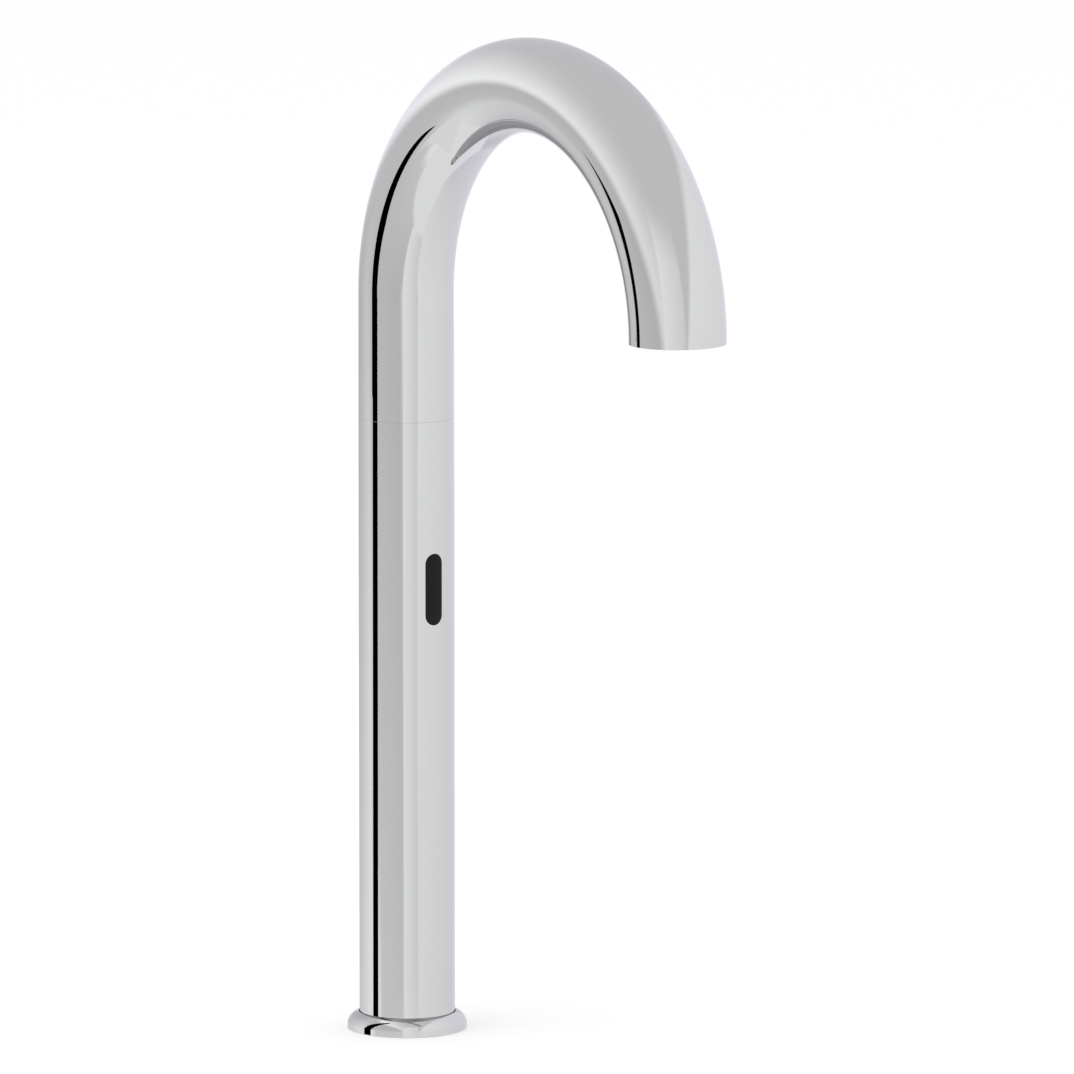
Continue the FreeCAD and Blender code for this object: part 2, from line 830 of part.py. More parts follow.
def spout_stem():
    low, head_low, top = stem_levels()
    running = stem_r - stem_gap
    body = joined(
        rod(running, low, head_low), rod(bore_r - thread_gap, head_low, top))
    body = body.cut(rod(stem_bore_r, low, top))
    for z in seal_heights():
        body = body.cut(seal_track(z))
    bearing_top = socket_levels()[2] - bearing_from_top
    body = body.cut(tube(running + cut_over, running - bearing_t, bearing_top - bearing_h, bearing_top))
    return body.cut(stop_groove())


def stop_groove():
    # the set screw's dog runs in this arc, whose ends stop the spout
    z = column_top - set_screw_drop
    deep = stem_r - stem_gap - dog_depth - dog_end_gap
    dog_half = math.degrees(math.asin((dog_r + loose_gap) / deep))
    half = swivel_deg + dog_half
    height = 2 * (dog_r + loose_gap)
    start = V(deep * math.sin(math.radians(half)), deep * math.cos(math.radians(half)), z - height / 2)
    out = start * 1.0
    out.z = 0
    out.normalize()
    width = dog_depth + 2 * cut_over
    corners = [start, start + out * width, start + out * width + UP * height, start + UP * height, start]
    return Part.Face(Part.makePolygon(corners)).revolve(V(0, 0, 0), UP, 2 * half)


def stem_seals():
    mean_r = stem_r - stem_seal_r
    rings = [round_seal(mean_r, stem_seal_r - stem_gap / 2, z) for z in seal_heights()]
    return Part.makeCompound(rings)


def stem_bearing():
    top = socket_levels()[2] - bearing_from_top
    running = stem_r - stem_gap
    ring = tube(running, running - bearing_t, top - bearing_h, top)
    split = block(0, stem_r, -bearing_split / 2, bearing_split / 2, top - bearing_h, top)
    return ring.cut(split)


def spout_set_screw():
    z = column_top - set_screw_drop
    tip = stem_r - dog_depth
    neck = stem_r + dog_shoulder
    head = column_r - set_screw_recess
    dog = Part.makeCylinder(dog_r, neck - tip, V(0, tip, z), V(0, 1, 0))
    body = Part.makeCylinder(set_screw_r, head - neck, V(0, neck, z), V(0, 1, 0))
    recess = hexagon(2 * hex_socket_r, head - hex_socket_depth, head)
    recess.rotate(V(0, 0, 0), V(1, 0, 0), -90)
    recess.translate(V(0, 0, z))
    return joined(dog, body).cut(recess)


# ---- Spout ----

def swan_neck(r):
    # straight leg and half circle, from the seam to the outlet
    leg = rod(r, seam_high, arch_z)
    disc = Part.Face(Part.Wire(Part.makeCircle(r, V(0, 0, arch_z), UP)))
    arch = disc.revolve(V(0, -arch_r, arch_z), V(1, 0, 0), 180)
    return leg.fuse(arch).removeSplitter()


def spout_tube():
    body = swan_neck(column_r).cut(swan_neck(bore_r))
    mouth = rod(bore_r + outlet_bore_cut, arch_z, arch_z + outlet_bore_depth, 0, -reach)
    return body.cut(mouth)


# ---- Outlet ----

def adapter_levels():
    low = arch_z + adapter_recess
    return low, low + adapter_collar, low + adapter_l


def outlet_adapter():
    low, collar_top, top = adapter_levels()
    rise = top - arch_z
    drift = arch_r - math.sqrt(arch_r ** 2 - rise ** 2)
    body_r = bore_r - drift - adapter_wall_gap
    collar_r = bore_r + outlet_bore_cut - adapter_gap
    collar = rod(collar_r, low, collar_top, 0, -reach)
    adapter = joined(collar, rod(body_r, low, top, 0, -reach))
    groove_z = (low + collar_top) / 2
    adapter = adapter.cut(tube(
        collar_r + cut_over, collar_r - 2 * adapter_seal_r + adapter_gap, groove_z - adapter_seal_r,
        groove_z + adapter_seal_r, 0, -reach))
    bore_top = aerator_levels()[1] + aerator_seal_t
    adapter = adapter.cut(rod(aerator_r + thread_gap, low, bore_top, 0, -reach))
    return adapter.cut(rod(aerator_r - aerator_seal_w, low, top, 0, -reach))


def adapter_seal():
    low, collar_top, top = adapter_levels()
    mean_r = bore_r + outlet_bore_cut - adapter_seal_r
    return round_seal(mean_r, adapter_seal_r * seal_share, (low + collar_top) / 2, 0, -reach)


def aerator_levels():
    low = adapter_levels()[0] + aerator_recess
    return low, low + aerator_h


def aerator_housing():
    low, top = aerator_levels()
    inner = aerator_r - aerator_wall
    body = tube(aerator_r, inner, low, top, 0, -reach)
    lip = tube(aerator_r, inner - aerator_lip, low, low + aerator_lip, 0, -reach)
    body = joined(body, lip)
    for i in range(aerator_notches):
        notch = block(
            inner + notch_inset, aerator_r + cut_over, -notch_w / 2, notch_w / 2,
            low - cut_over, low + notch_depth)
        notch.rotate(V(0, 0, 0), UP, notch_turn + 360 / aerator_notches * i)
        notch.translate(V(0, -reach, 0))
        body = body.cut(notch)
    return body


def aerator_grid():
    # honeycomb that makes the jet straight
    low = aerator_levels()[0] + aerator_lip
    outer = aerator_r - aerator_wall - loose_gap
    disc = rod(outer, low, low + grid_t)
    step = cell_across + cell_wall
    cells = []
    rows = int(outer / (step * math.sqrt(3) / 2)) + 1
    for row in range(-rows, rows + 1):
        y = row * step * math.sqrt(3) / 2
        for column in range(-rows, rows + 1):
            x = (column + 0.5 * (row % 2)) * step
            if math.hypot(x, y) + cell_across / math.sqrt(3) <= outer - grid_rim:
                cells.append(hexagon(cell_across, low, low + grid_t, x, y, 30))
    grid = disc.cut(Part.makeCompound(cells))
    grid.translate(V(0, -reach, 0))
    return grid


def mixer_low():
    return aerator_levels()[0] + aerator_lip + grid_t + mixer_set_back


def aerator_mixer():
    low = mixer_low()
    outer = aerator_r - aerator_wall - loose_gap
    body = rod(outer, low, low + mixer_t)
    foot = tube(outer, outer - mixer_foot_w, low - mixer_set_back, low)
    holes = []
    for ring, count in ((mixer_inner_ring, mixer_holes // 2), (mixer_outer_ring, mixer_holes)):
        for i in range(count):
            angle = 2 * math.pi * i / count
            x = ring * outer * math.cos(angle)
            y = ring * outer * math.sin(angle)
            holes.append(hexagon(mixer_hole_w, low, low + mixer_t, x, y))
    body = joined(body, foot).cut(Part.makeCompound(holes))
    body.translate(V(0, -reach, 0))
    return body


def strainer_low():
    return mixer_low() + mixer_t


def aerator_strainer():
    # domed sieve that stands on the mixer disc
    low = strainer_low()
    outer = aerator_r - aerator_wall - loose_gap
    crown = low + strainer_dome
    rim = tube(outer, strainer_r - strainer_t, low, low + strainer_t)
    flat_r = strainer_crown * strainer_r
    wall = turned([
        (strainer_r - strainer_t, low), (strainer_r, low), (flat_r, crown), (0, crown),
        (0, crown - strainer_t), (flat_r - strainer_t, crown - strainer_t),
    ])
    body = joined(rim, wall)
    holes = [hexagon(strainer_hole_w, low, crown + cut_over)]
    for i in range(strainer_holes):
        angle = 2 * math.pi * i / strainer_holes
        x = strainer_ring * strainer_r * math.cos(angle)
        y = strainer_ring * strainer_r * math.sin(angle)
        holes.append(hexagon(strainer_hole_w, low, crown + cut_over, x, y))
    body = body.cut(Part.makeCompound(holes))
    body.translate(V(0, -reach, 0))
    return body


def aerator_seal():
    top = aerator_levels()[1]
    return tube(aerator_r - loose_gap, aerator_r - aerator_seal_w, top, top + aerator_seal_t, 0, -reach)


# ---- Sensor ----

def window_back():
    return -column_r + window_t


def flange_front():
    return bore_r - window_seal_t


def sensor_window():
    back = window_back()
    glass = upright_slot(window_w, window_h, -column_r, back)
    glass = glass.common(rod(column_r - window_recess, sensor_z - window_h, sensor_z + window_h))
    flange = upright_slot(
        window_w + 2 * window_gap + 2 * flange_edge, window_h + 2 * window_gap + 2 * flange_edge,
        -column_r, back)
    flange = flange.common(rod(flange_front(), sensor_z - window_h, sensor_z + window_h))
    return joined(glass, flange)


def sensor_gasket():
    wide = window_w + 2 * window_gap
    high = window_h + 2 * window_gap
    outer = upright_slot(wide + 2 * flange_edge, high + 2 * flange_edge, -column_r, window_back())
    inner = upright_slot(wide, high, -column_r, window_back())
    shell = tube(bore_r, flange_front(), sensor_z - high, sensor_z + high)
    return outer.cut(inner).common(shell)


def housing_box(inset, y0, y1):
    half_w = housing_w / 2 - inset
    half_h = housing_h / 2 - inset
    return block(-half_w, half_w, y0, y1, sensor_z - half_h, sensor_z + half_h)


def housing_front():
    return window_back()


def housing_back():
    return housing_front() + housing_depth


def board_front():
    return housing_front() + board_set_back


def screw_height():
    return housing_h / 2 - housing_wall - 2 * cover_screw_r


def sensor_housing():
    front = housing_front()
    back = housing_back()
    shell = housing_box(0, front, back).cut(housing_box(housing_wall, front + housing_wall, back))
    baffle = block(
        housing_wall - housing_w / 2, housing_w / 2 - housing_wall, front + housing_wall,
        board_front() - board_gap, sensor_z - baffle_t / 2, sensor_z + baffle_t / 2)
    posts = []
    for side in (-1, 1):
        z = sensor_z + side * screw_height()
        post = block(
            housing_wall - housing_w / 2, housing_w / 2 - housing_wall, front + housing_wall, back,
            z - 2 * cover_screw_r, z + 2 * cover_screw_r)
        posts.append(post)
    body = joined(shell, baffle, *posts)
    for side in (-1, 1):
        z = sensor_z + side * diode_rise
        body = body.cut(Part.makeCylinder(diode_r + diode_gap, 2 * housing_wall, V(0, front, z), V(0, 1, 0)))
        z = sensor_z + side * screw_height()
        body = body.cut(Part.makeCylinder(
            cover_screw_r + thread_gap, housing_depth / 2, V(0, front + housing_depth / 2, z), V(0, 1, 0)))
    for x, y, r in (sensor_entry() + (lead_r,), coil_entry() + (coil_lead_r,)):
        low = sensor_z - housing_h / 2
        body = body.cut(rod(r + entry_gap, low, low + housing_wall + 4 * cover_screw_r + cut_over, x, y))
    return body


def sensor_entry():
    return -housing_w / 4, board_front() + board_t + lead_r + sensor_entry_gap


def coil_entry():
    return housing_w / 4, board_front() + board_t + coil_lead_r + coil_entry_gap


def sensor_rear_cover():
    back = housing_back()
    cover = housing_box(0, back, back + housing_cover_t)
    for side in (-1, 1):
        z = sensor_z + side * screw_height()
        cover = cover.cut(Part.makeCylinder(
            cover_screw_r + thread_gap, housing_cover_t, V(0, back, z), V(0, 1, 0)))
    return cover


def sensor_screws():
    back = housing_back()
    screws = []
    for side in (-1, 1):
        z = sensor_z + side * screw_height()
        face = back + housing_cover_t
        start = V(0, face - cover_screw_grip, z)
        shaft = Part.makeCylinder(cover_screw_r, cover_screw_grip, start, V(0, 1, 0))
        head = Part.makeCylinder(cover_head_r, cover_head_h, V(0, face, z), V(0, 1, 0))
        slot = block(
            -cover_head_r, cover_head_r, face + cover_slot_floor, face + cover_head_h,
            z - cover_slot_w / 2, z + cover_slot_w / 2)
        screws.append(joined(shaft, head).cut(slot))
    return Part.makeCompound(screws)


def sensor_board():
    front = board_front()
    half_w = housing_w / 2 - housing_wall - board_gap
    half_h = screw_height() - 2 * cover_screw_r - board_gap
    board = block(-half_w, half_w, front, front + board_t, sensor_z - half_h, sensor_z + half_h)
    back = front + board_t
    half = chip_w / 2
    chip = block(-half, half, back, back + chip_t, sensor_z - half, sensor_z + half)
    parts = [board, chip]
    for side in (-1, 1):
        z = sensor_z + side * diode_rise
        parts.append(block(
            -resistor_w / 2, resistor_w / 2, back, back + resistor_t, z - resistor_h / 2,
            z + resistor_h / 2))
    body = joined(*parts)
    for side in (-1, 1):
        for leg in (-1, 1):
            body = body.cut(Part.makeCylinder(
                diode_leg_r + leg_hole_gap, board_t + 2 * cut_over,
                V(leg * diode_r / 2, front - cut_over, sensor_z + side * diode_rise), V(0, 1, 0)))
    return body


def diode(side):
    z = sensor_z + side * diode_rise
    tip = housing_front() + diode_tip_gap
    dome = tip + diode_r
    base = tip + diode_l
    y = V(0, 1, 0)
    body = joined(
        Part.makeSphere(diode_r, V(0, dome, z)).common(
            block(-diode_r, diode_r, tip - cut_over, dome, z - diode_r, z + diode_r)),
        Part.makeCylinder(diode_r, base - dome, V(0, dome, z), y),
    )
    legs = [
        Part.makeCylinder(diode_leg_r, board_front() + board_t - base, V(leg * diode_r / 2, base, z), y)
        for leg in (-1, 1)
    ]
    return joined(body, *legs)


def infrared_emitter():
    return diode(1)


def infrared_receiver():
    return diode(-1)


def strip(points, thickness, width):
    # bent sheet strip of even thickness, with round bends, across the X axis
    pieces = []
    half = thickness / 2
    for (y0, z0), (y1, z1) in zip(points, points[1:]):
        run = V(0, y1 - y0, z1 - z0)
        side = V(0, -run.z, run.y).normalize() * half
        start = V(-width / 2, y0, z0)
        corners = [start + side, start + run + side, start + run - side, start - side, start + side]
        pieces.append(Part.Face(Part.makePolygon(corners)).extrude(V(width, 0, 0)))
    for y, z in points[1:-1]:
        pieces.append(Part.makeCylinder(half, width, V(-width / 2, y, z), V(1, 0, 0)))
    return joined(*pieces)


def sensor_clip():
    # leaf spring that holds the sensor against the window
    near = housing_back() + housing_cover_t + clip_t / 2
    far = math.sqrt(bore_r ** 2 - clip_w ** 2 / 4) - clip_t / 2
    foot = clip_foot / 2
    out = foot + clip_spread
    points = [
        (far, sensor_z - out - clip_pad), (far, sensor_z - out), (near, sensor_z - foot),
        (near, sensor_z + foot), (far, sensor_z + out), (far, sensor_z + out + clip_pad),
    ]
    return strip(points, clip_t, clip_w)


def sensor_lead():
    x, y = sensor_entry()
    low = sensor_z - housing_h / 2
    start = tower_z + plug_flange
    route = [
        V(plug_x, plug_y, start), V(plug_x, plug_y, start + lead_rise),
        V(lead_x, lead_y, start + lead_swing), V(lead_x, lead_y, low - lead_leave),
        V(x, y, low - lead_arrive), V(x, y, low + 4 * cover_screw_r + housing_wall)]
    return along(route, lead_r)


def coil_lead():
    x, y = coil_entry()
    low = sensor_z - housing_h / 2
    start = bonnet_levels()[2] + yoke_t + coil_l - terminal_drop - terminal_h / 2
    away = coil_lead_y()
    route = [
        V(valve_x, away, start), V(valve_x, away, low - lead_leave), V(x, y, low - lead_arrive),
        V(x, y, low + 4 * cover_screw_r + housing_wall)]
    return along(route, coil_lead_r)


pieces = {
    "base_ring": base_ring,
    "deck_gasket": deck_gasket,
    "mounting_shank": mounting_shank,
    "rubber_washer": lambda: under_deck_washer(-deck_t, rubber_washer_t),
    "metal_washer": lambda: under_deck_washer(-deck_t - rubber_washer_t, metal_washer_t),
    "mounting_nut": mounting_nut,
    "column_tube": column_tube,
    "inlet_block": inlet_block,
    "inlet_filter": inlet_filter,
    "check_valve_body": check_valve_body,
    "check_valve_seal": check_valve_seal,
    "check_valve_poppet": check_valve_poppet,
    "check_valve_spring": check_valve_spring,
    "check_valve_guide": check_valve_guide,
    "power_socket": power_socket,
    "valve_seal": valve_seal,
    "valve_body": valve_body,
    "diaphragm_membrane": diaphragm_membrane,
    "diaphragm_plate": diaphragm_plate,
    "valve_bonnet": valve_bonnet,
    "valve_screws": valve_screws,
    "core_tube": core_tube,
    "fixed_core": fixed_core,
    "plunger": plunger,
    "plunger_seal": plunger_seal,
    "plunger_spring": plunger_spring,
    "solenoid_coil": solenoid_coil,
    "coil_yoke": coil_yoke,
    "coil_nut": coil_nut,
    "riser_tube": riser_tube,
    "spout_socket": spout_socket,
    "passage_plug": passage_plug,
    "swivel_washer": swivel_washer,
    "spout_stem": spout_stem,
    "stem_seals": stem_seals,
    "stem_bearing": stem_bearing,
    "spout_set_screw": spout_set_screw,
    "spout_tube": spout_tube,
    "outlet_adapter": outlet_adapter,
    "adapter_seal": adapter_seal,
    "aerator_housing": aerator_housing,
    "aerator_grid": aerator_grid,
    "aerator_mixer": aerator_mixer,
    "aerator_strainer": aerator_strainer,
    "aerator_seal": aerator_seal,
    "sensor_window": sensor_window,
    "sensor_gasket": sensor_gasket,
    "sensor_housing": sensor_housing,
    "sensor_board": sensor_board,
    "infrared_emitter": infrared_emitter,
    "infrared_receiver": infrared_receiver,
    "sensor_rear_cover": sensor_rear_cover,
    "sensor_screws": sensor_screws,
    "sensor_clip": sensor_clip,
    "sensor_lead": sensor_lead,
    "coil_lead": coil_lead,
}

os.makedirs("parts", exist_ok=True)
for name, make in pieces.items():
    shape = make()
    shape.exportStep(os.path.join("parts", name + ".step"))
    print(name, shape.isValid(), len(shape.Solids), round(shape.Volume, 1))
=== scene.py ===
import bmesh
import bpy
import json
import math
from functools import partial
from mathutils import Matrix, Vector


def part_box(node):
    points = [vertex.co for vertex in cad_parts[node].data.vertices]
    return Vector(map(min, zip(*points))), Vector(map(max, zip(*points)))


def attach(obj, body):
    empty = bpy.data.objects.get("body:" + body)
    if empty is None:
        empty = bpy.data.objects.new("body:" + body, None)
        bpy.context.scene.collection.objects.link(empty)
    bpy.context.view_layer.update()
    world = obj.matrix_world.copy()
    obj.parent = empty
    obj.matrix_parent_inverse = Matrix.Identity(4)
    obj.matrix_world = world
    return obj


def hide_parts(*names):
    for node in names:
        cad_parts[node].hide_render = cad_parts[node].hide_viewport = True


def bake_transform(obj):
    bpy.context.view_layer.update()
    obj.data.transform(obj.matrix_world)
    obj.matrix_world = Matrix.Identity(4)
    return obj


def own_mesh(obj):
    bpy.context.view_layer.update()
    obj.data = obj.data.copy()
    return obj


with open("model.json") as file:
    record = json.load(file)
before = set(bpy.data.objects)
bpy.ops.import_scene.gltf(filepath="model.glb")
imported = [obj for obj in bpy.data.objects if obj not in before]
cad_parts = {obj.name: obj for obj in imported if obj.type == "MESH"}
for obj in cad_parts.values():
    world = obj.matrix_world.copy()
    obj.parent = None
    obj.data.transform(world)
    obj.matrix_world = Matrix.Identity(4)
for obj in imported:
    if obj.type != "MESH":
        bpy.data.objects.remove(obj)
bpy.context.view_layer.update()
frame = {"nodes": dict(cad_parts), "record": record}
nodes = frame["nodes"]
mm = 0.001
scene = bpy.context.scene
scene.view_settings.view_transform = "Standard"
print("frame loaded:", len(nodes), "nodes")


def dressed(thing, material):
    thing.data.materials.clear()
    thing.data.materials.append(material)
    return thing


def linkObject(name, data, material=None):
    thing = bpy.data.objects.new(name, data)
    scene.collection.objects.link(thing)
    return dressed(thing, material) if material else thing


def pointOutward(mesh, weld=0.0):
    work = bmesh.new()
    work.from_mesh(mesh)
    if weld:
        bmesh.ops.remove_doubles(work, verts=work.verts, dist=weld)
    bmesh.ops.recalc_face_normals(work, faces=work.faces)
    work.to_mesh(mesh)
    work.free()
    mesh.polygons.foreach_set("use_smooth", [True] * len(mesh.polygons))


def meshFrom(name, points, faces, normals=None):
    # a smooth mesh from points and faces
    mesh = bpy.data.meshes.new(name)
    mesh.from_pydata([tuple(p) for p in points], [], faces)
    mesh.validate()
    mesh.polygons.foreach_set("use_smooth", [True] * len(mesh.polygons))
    if normals:
        pointOutward(mesh)
        mesh.normals_split_custom_set_from_vertices([tuple(n) for n in normals])
    mesh.update()
    return mesh


def newGroup(name, numbers, results, placed=True):
    # a shader group with named numbers going in and coming out, and a place where it needs one
    tree = bpy.data.node_groups.new(name, "ShaderNodeTree")
    sockets = tree.interface
    if placed:
        sockets.new_socket(name="Vector", in_out="INPUT", socket_type="NodeSocketVector")
    for label, value in numbers.items():
        socket = sockets.new_socket(name=label, in_out="INPUT", socket_type="NodeSocketFloat")
        socket.default_value = value
    for label in results:
        sockets.new_socket(name=label, in_out="OUTPUT", socket_type="NodeSocketFloat")
    start, end = tree.nodes.new("NodeGroupInput"), tree.nodes.new("NodeGroupOutput")
    return tree, start.outputs, end.inputs


def feed(tree, socket, value):
    # a socket takes another node's output or a plain value
    if hasattr(value, "links"):
        tree.links.new(value, socket)
    else:
        socket.default_value = value


def addNode(tree, kind, **values):
    node = tree.nodes.new(kind)
    for label, value in values.items():
        feed(tree, node.inputs[label], value)
    return node


def mathNode(operation, *values):
    # stands in the tree of whichever value is a node's output
    tree = next(value.id_data for value in values if hasattr(value, "links"))
    node = tree.nodes.new("ShaderNodeMath")
    node.operation = operation
    for socket, value in zip(node.inputs, values):
        feed(tree, socket, value)
    return node.outputs[0]


plus, minus, times, over, timesPlus, least, most = (
    partial(mathNode, operation) for operation in
    ("ADD", "SUBTRACT", "MULTIPLY", "DIVIDE", "MULTIPLY_ADD", "MINIMUM", "MAXIMUM"))


def noiseNode(vector, scale, detail=2.0, rough=0.5):
    tree, kind = vector.id_data, "ShaderNodeTexNoise"
    node = addNode(tree, kind, Vector=vector, Scale=scale, Detail=detail, Roughness=rough)
    return node.outputs["Fac"]


def stretchNode(vector, scale):
    node = addNode(vector.id_data, "ShaderNodeMapping", Vector=vector, Scale=scale)
    return node.outputs["Vector"]


def rangeNode(value, low, high, toLow, toHigh, ease="LINEAR"):
    tree = value.id_data
    node = tree.nodes.new("ShaderNodeMapRange")
    node.interpolation_type = ease
    labels = ("Value", "From Min", "From Max", "To Min", "To Max")
    for label, given in zip(labels, (value, low, high, toLow, toHigh)):
        feed(tree, node.inputs[label], given)
    return node.outputs["Result"]


def joinNode(z, **parts):
    labelled = {label.upper(): value for label, value in parts.items()}
    return addNode(z.id_data, "ShaderNodeCombineXYZ", Z=z, **labelled).outputs[0]


# noise scales are waves to a metre, and low and high are the part of the noise that is used
polish = {
    "cloud": 34.0,
    "cloudDetail": 4.0,
    "cloudRough": 0.55,
    "cloudShare": 0.6,
    "smear": (260.0, 260.0, 22.0),      # both are drawn out along the height
    "hairs": (9000.0, 9000.0, 140.0),
    "low": 0.38,
    "high": 0.66,
    "bump": 0.05,
    "depth": 0.002 * mm,
}
mould = {
    "fineRough": 0.6, "slow": 90.0, "low": 0.3, "high": 0.7, "bump": 0.4, "depth": 0.01 * mm}
turned = {
    "across": 60.0, "rough": 0.6, "tarnish": 150.0, "tarnishDetail": 4.0, "low": 0.3, "high": 0.7,
    "bump": 0.35, "depth": 0.01 * mm}


def makePolishGroup():
    # faint cloudy wipe marks and hair scratches of a hand-wiped polished surface
    tree, start, end = newGroup(
        "polishMarks", {"Smooth": 0.02, "Dull": 0.06, "Scratch": 1.0},
        ("Roughness", "Height", "Mask"))
    place = start["Vector"]
    cloud = noiseNode(place, polish["cloud"], polish["cloudDetail"], polish["cloudRough"])
    smear = noiseNode(stretchNode(place, polish["smear"]), 1.0, 3.0)
    both = timesPlus(cloud, polish["cloudShare"], times(smear, 1.0 - polish["cloudShare"]))
    rough = rangeNode(both, polish["low"], polish["high"], start["Smooth"], start["Dull"])
    hairs = noiseNode(stretchNode(place, polish["hairs"]), 1.0, 1.0)
    tree.links.new(rough, end["Roughness"])
    tree.links.new(times(hairs, start["Scratch"]), end["Height"])
    tree.links.new(both, end["Mask"])
    return tree


def makeGrainGroup():
    # spark-eroded grain of moulded plastic and rubber, with a slow change of tone
    tree, start, end = newGroup("mouldGrain", {"Size": 3000.0}, ("Height", "Tone"))
    fine = noiseNode(start["Vector"], start["Size"], 2.0, mould["fineRough"])
    slow = noiseNode(start["Vector"], mould["slow"], 3.0)
    tree.links.new(fine, end["Height"])
    tree.links.new(rangeNode(slow, mould["low"], mould["high"], 0.0, 1.0), end["Tone"])
    return tree


def makeTurnedGroup():
    # fine rings left by the lathe, running round the upright axis
    tree, start, end = newGroup("turnedRings", {"Pitch": 5200.0}, ("Height", "Tone"))
    place = start["Vector"]
    split = tree.nodes.new("ShaderNodeSeparateXYZ")
    tree.links.new(place, split.inputs[0])
    up = times(split.outputs["Z"], start["Pitch"])
    across = times(split.outputs["X"], turned["across"])
    rings = noiseNode(joinNode(up, x=across), 1.0, 2.0, turned["rough"])
    tarnish = noiseNode(place, turned["tarnish"], turned["tarnishDetail"], turned["rough"])
    tree.links.new(rings, end["Height"])
    tree.links.new(rangeNode(tarnish, turned["low"], turned["high"], 0.0, 1.0), end["Tone"])
    return tree


polishMarks = makePolishGroup()
mouldGrain = makeGrainGroup()
turnedRings = makeTurnedGroup()


def startMaterial(name):
    material = bpy.data.materials.new(name)
    material.use_nodes = True
    tree = material.node_tree
    shader = tree.nodes["Principled BSDF"]
    place = tree.nodes.new("ShaderNodeTexCoord").outputs["Object"]
    return material, tree, shader, place


def groupNode(tree, group, **values):
    node = tree.nodes.new("ShaderNodeGroup")
    node.node_tree = group
    for label, value in values.items():
        feed(tree, node.inputs[label], value)
    return node


def bumpInto(tree, shader, height, kind):
    bump = addNode(
        tree, "ShaderNodeBump", Height=height, Strength=kind["bump"], Distance=kind["depth"])
    tree.links.new(bump.outputs["Normal"], shader.inputs["Normal"])


def mixColours(tree, share, first, second):
    ramp = tree.nodes.new("ShaderNodeMix")
    ramp.data_type = "RGBA"
    ramp.inputs["A"].default_value = (*first, 1)
    ramp.inputs["B"].default_value = (*second, 1)
    tree.links.new(share, ramp.inputs["Factor"])
    return ramp.outputs["Result"]


def polishedMetal(name, first, second, smooth, dull, scratch):
    material, tree, shader, place = startMaterial(name)
    shader.inputs["Metallic"].default_value = 1.0
    marks = groupNode(tree, polishMarks, Vector=place, Smooth=smooth, Dull=dull, Scratch=scratch)
    colour = mixColours(tree, marks.outputs["Mask"], first, second)
    tree.links.new(colour, shader.inputs["Base Color"])
    tree.links.new(marks.outputs["Roughness"], shader.inputs["Roughness"])
    bumpInto(tree, shader, marks.outputs["Height"], polish)
    return material


def grainInto(tree, shader, grain, kind, first, second, low, high):
    colour = mixColours(tree, grain.outputs["Tone"], first, second)
    rough = rangeNode(grain.outputs["Height"], kind["low"], kind["high"], low, high)
    tree.links.new(colour, shader.inputs["Base Color"])
    tree.links.new(rough, shader.inputs["Roughness"])
    bumpInto(tree, shader, grain.outputs["Height"], kind)


def turnedMetal(name, first, second, low, high, pitch=5200.0):
    material, tree, shader, place = startMaterial(name)
    shader.inputs["Metallic"].default_value = 1.0
    rings = groupNode(tree, turnedRings, Vector=place, Pitch=pitch)
    grainInto(tree, shader, rings, turned, first, second, low, high)
    return material


def moulded(name, first, second, low, high, size):
    material, tree, shader, place = startMaterial(name)
    grain = groupNode(tree, mouldGrain, Vector=place, Size=size)
    grainInto(tree, shader, grain, mould, first, second, low, high)
    return material


# two tones, then the lowest and highest roughness, and the scratches' depth or the grain's scale
chrome = polishedMetal(
    "polishedChrome", (0.705, 0.71, 0.716), (0.685, 0.69, 0.697), 0.012, 0.035, 1.0)
lensBlack = moulded("lensBlack", (0.003, 0.003, 0.0033), (0.0045, 0.0045, 0.005), 0.04, 0.08, 900.0)
lensBlack.node_tree.nodes["Principled BSDF"].inputs["Specular IOR Level"].default_value = 0.2
finishes = {"polished_chrome": chrome, "sensor_lens": lensBlack}
mouldedFinishes = {
    "black_rubber": ((0.018, 0.018, 0.019), (0.03, 0.03, 0.031), 0.55, 0.8, 2200.0),
    "white_plastic": ((0.78, 0.78, 0.76), (0.72, 0.72, 0.70), 0.35, 0.5, 2600.0),
    "black_plastic": ((0.02, 0.02, 0.021), (0.03, 0.03, 0.032), 0.4, 0.55, 2600.0),
    "grey_plastic": ((0.30, 0.31, 0.32), (0.25, 0.26, 0.27), 0.38, 0.52, 2600.0),
    "circuit_board": ((0.02, 0.16, 0.07), (0.015, 0.12, 0.05), 0.3, 0.4, 1600.0),
    "infrared_epoxy": ((0.05, 0.02, 0.03), (0.07, 0.03, 0.04), 0.08, 0.16, 900.0),
    "lead_sheath": ((0.03, 0.03, 0.032), (0.045, 0.045, 0.047), 0.4, 0.6, 2400.0),
}
turnedFinishes = {
    "raw_brass": ((0.72, 0.50, 0.20), (0.60, 0.40, 0.15), 0.18, 0.38),
    "copper_tube": ((0.78, 0.40, 0.26), (0.62, 0.29, 0.18), 0.2, 0.42, 700.0),
    "stainless_steel": ((0.60, 0.59, 0.57), (0.52, 0.51, 0.49), 0.2, 0.36),
    "zinc_plated_steel": ((0.62, 0.64, 0.66), (0.52, 0.54, 0.58), 0.25, 0.5, 900.0),
}
for make, table in ((moulded, mouldedFinishes), (turnedMetal, turnedFinishes)):
    for slotName, values in table.items():
        first, *others = slotName.split("_")
        finishes[slotName] = make(first + "".join(word.capitalize() for word in others), *values)
slotOf = {part["node"]: part["material_slot"] for part in frame["record"]["subparts"]}
for label, thing in nodes.items():
    dressed(thing, finishes[slotOf[label]])
print("finishes laid on", len(slotOf), "nodes")

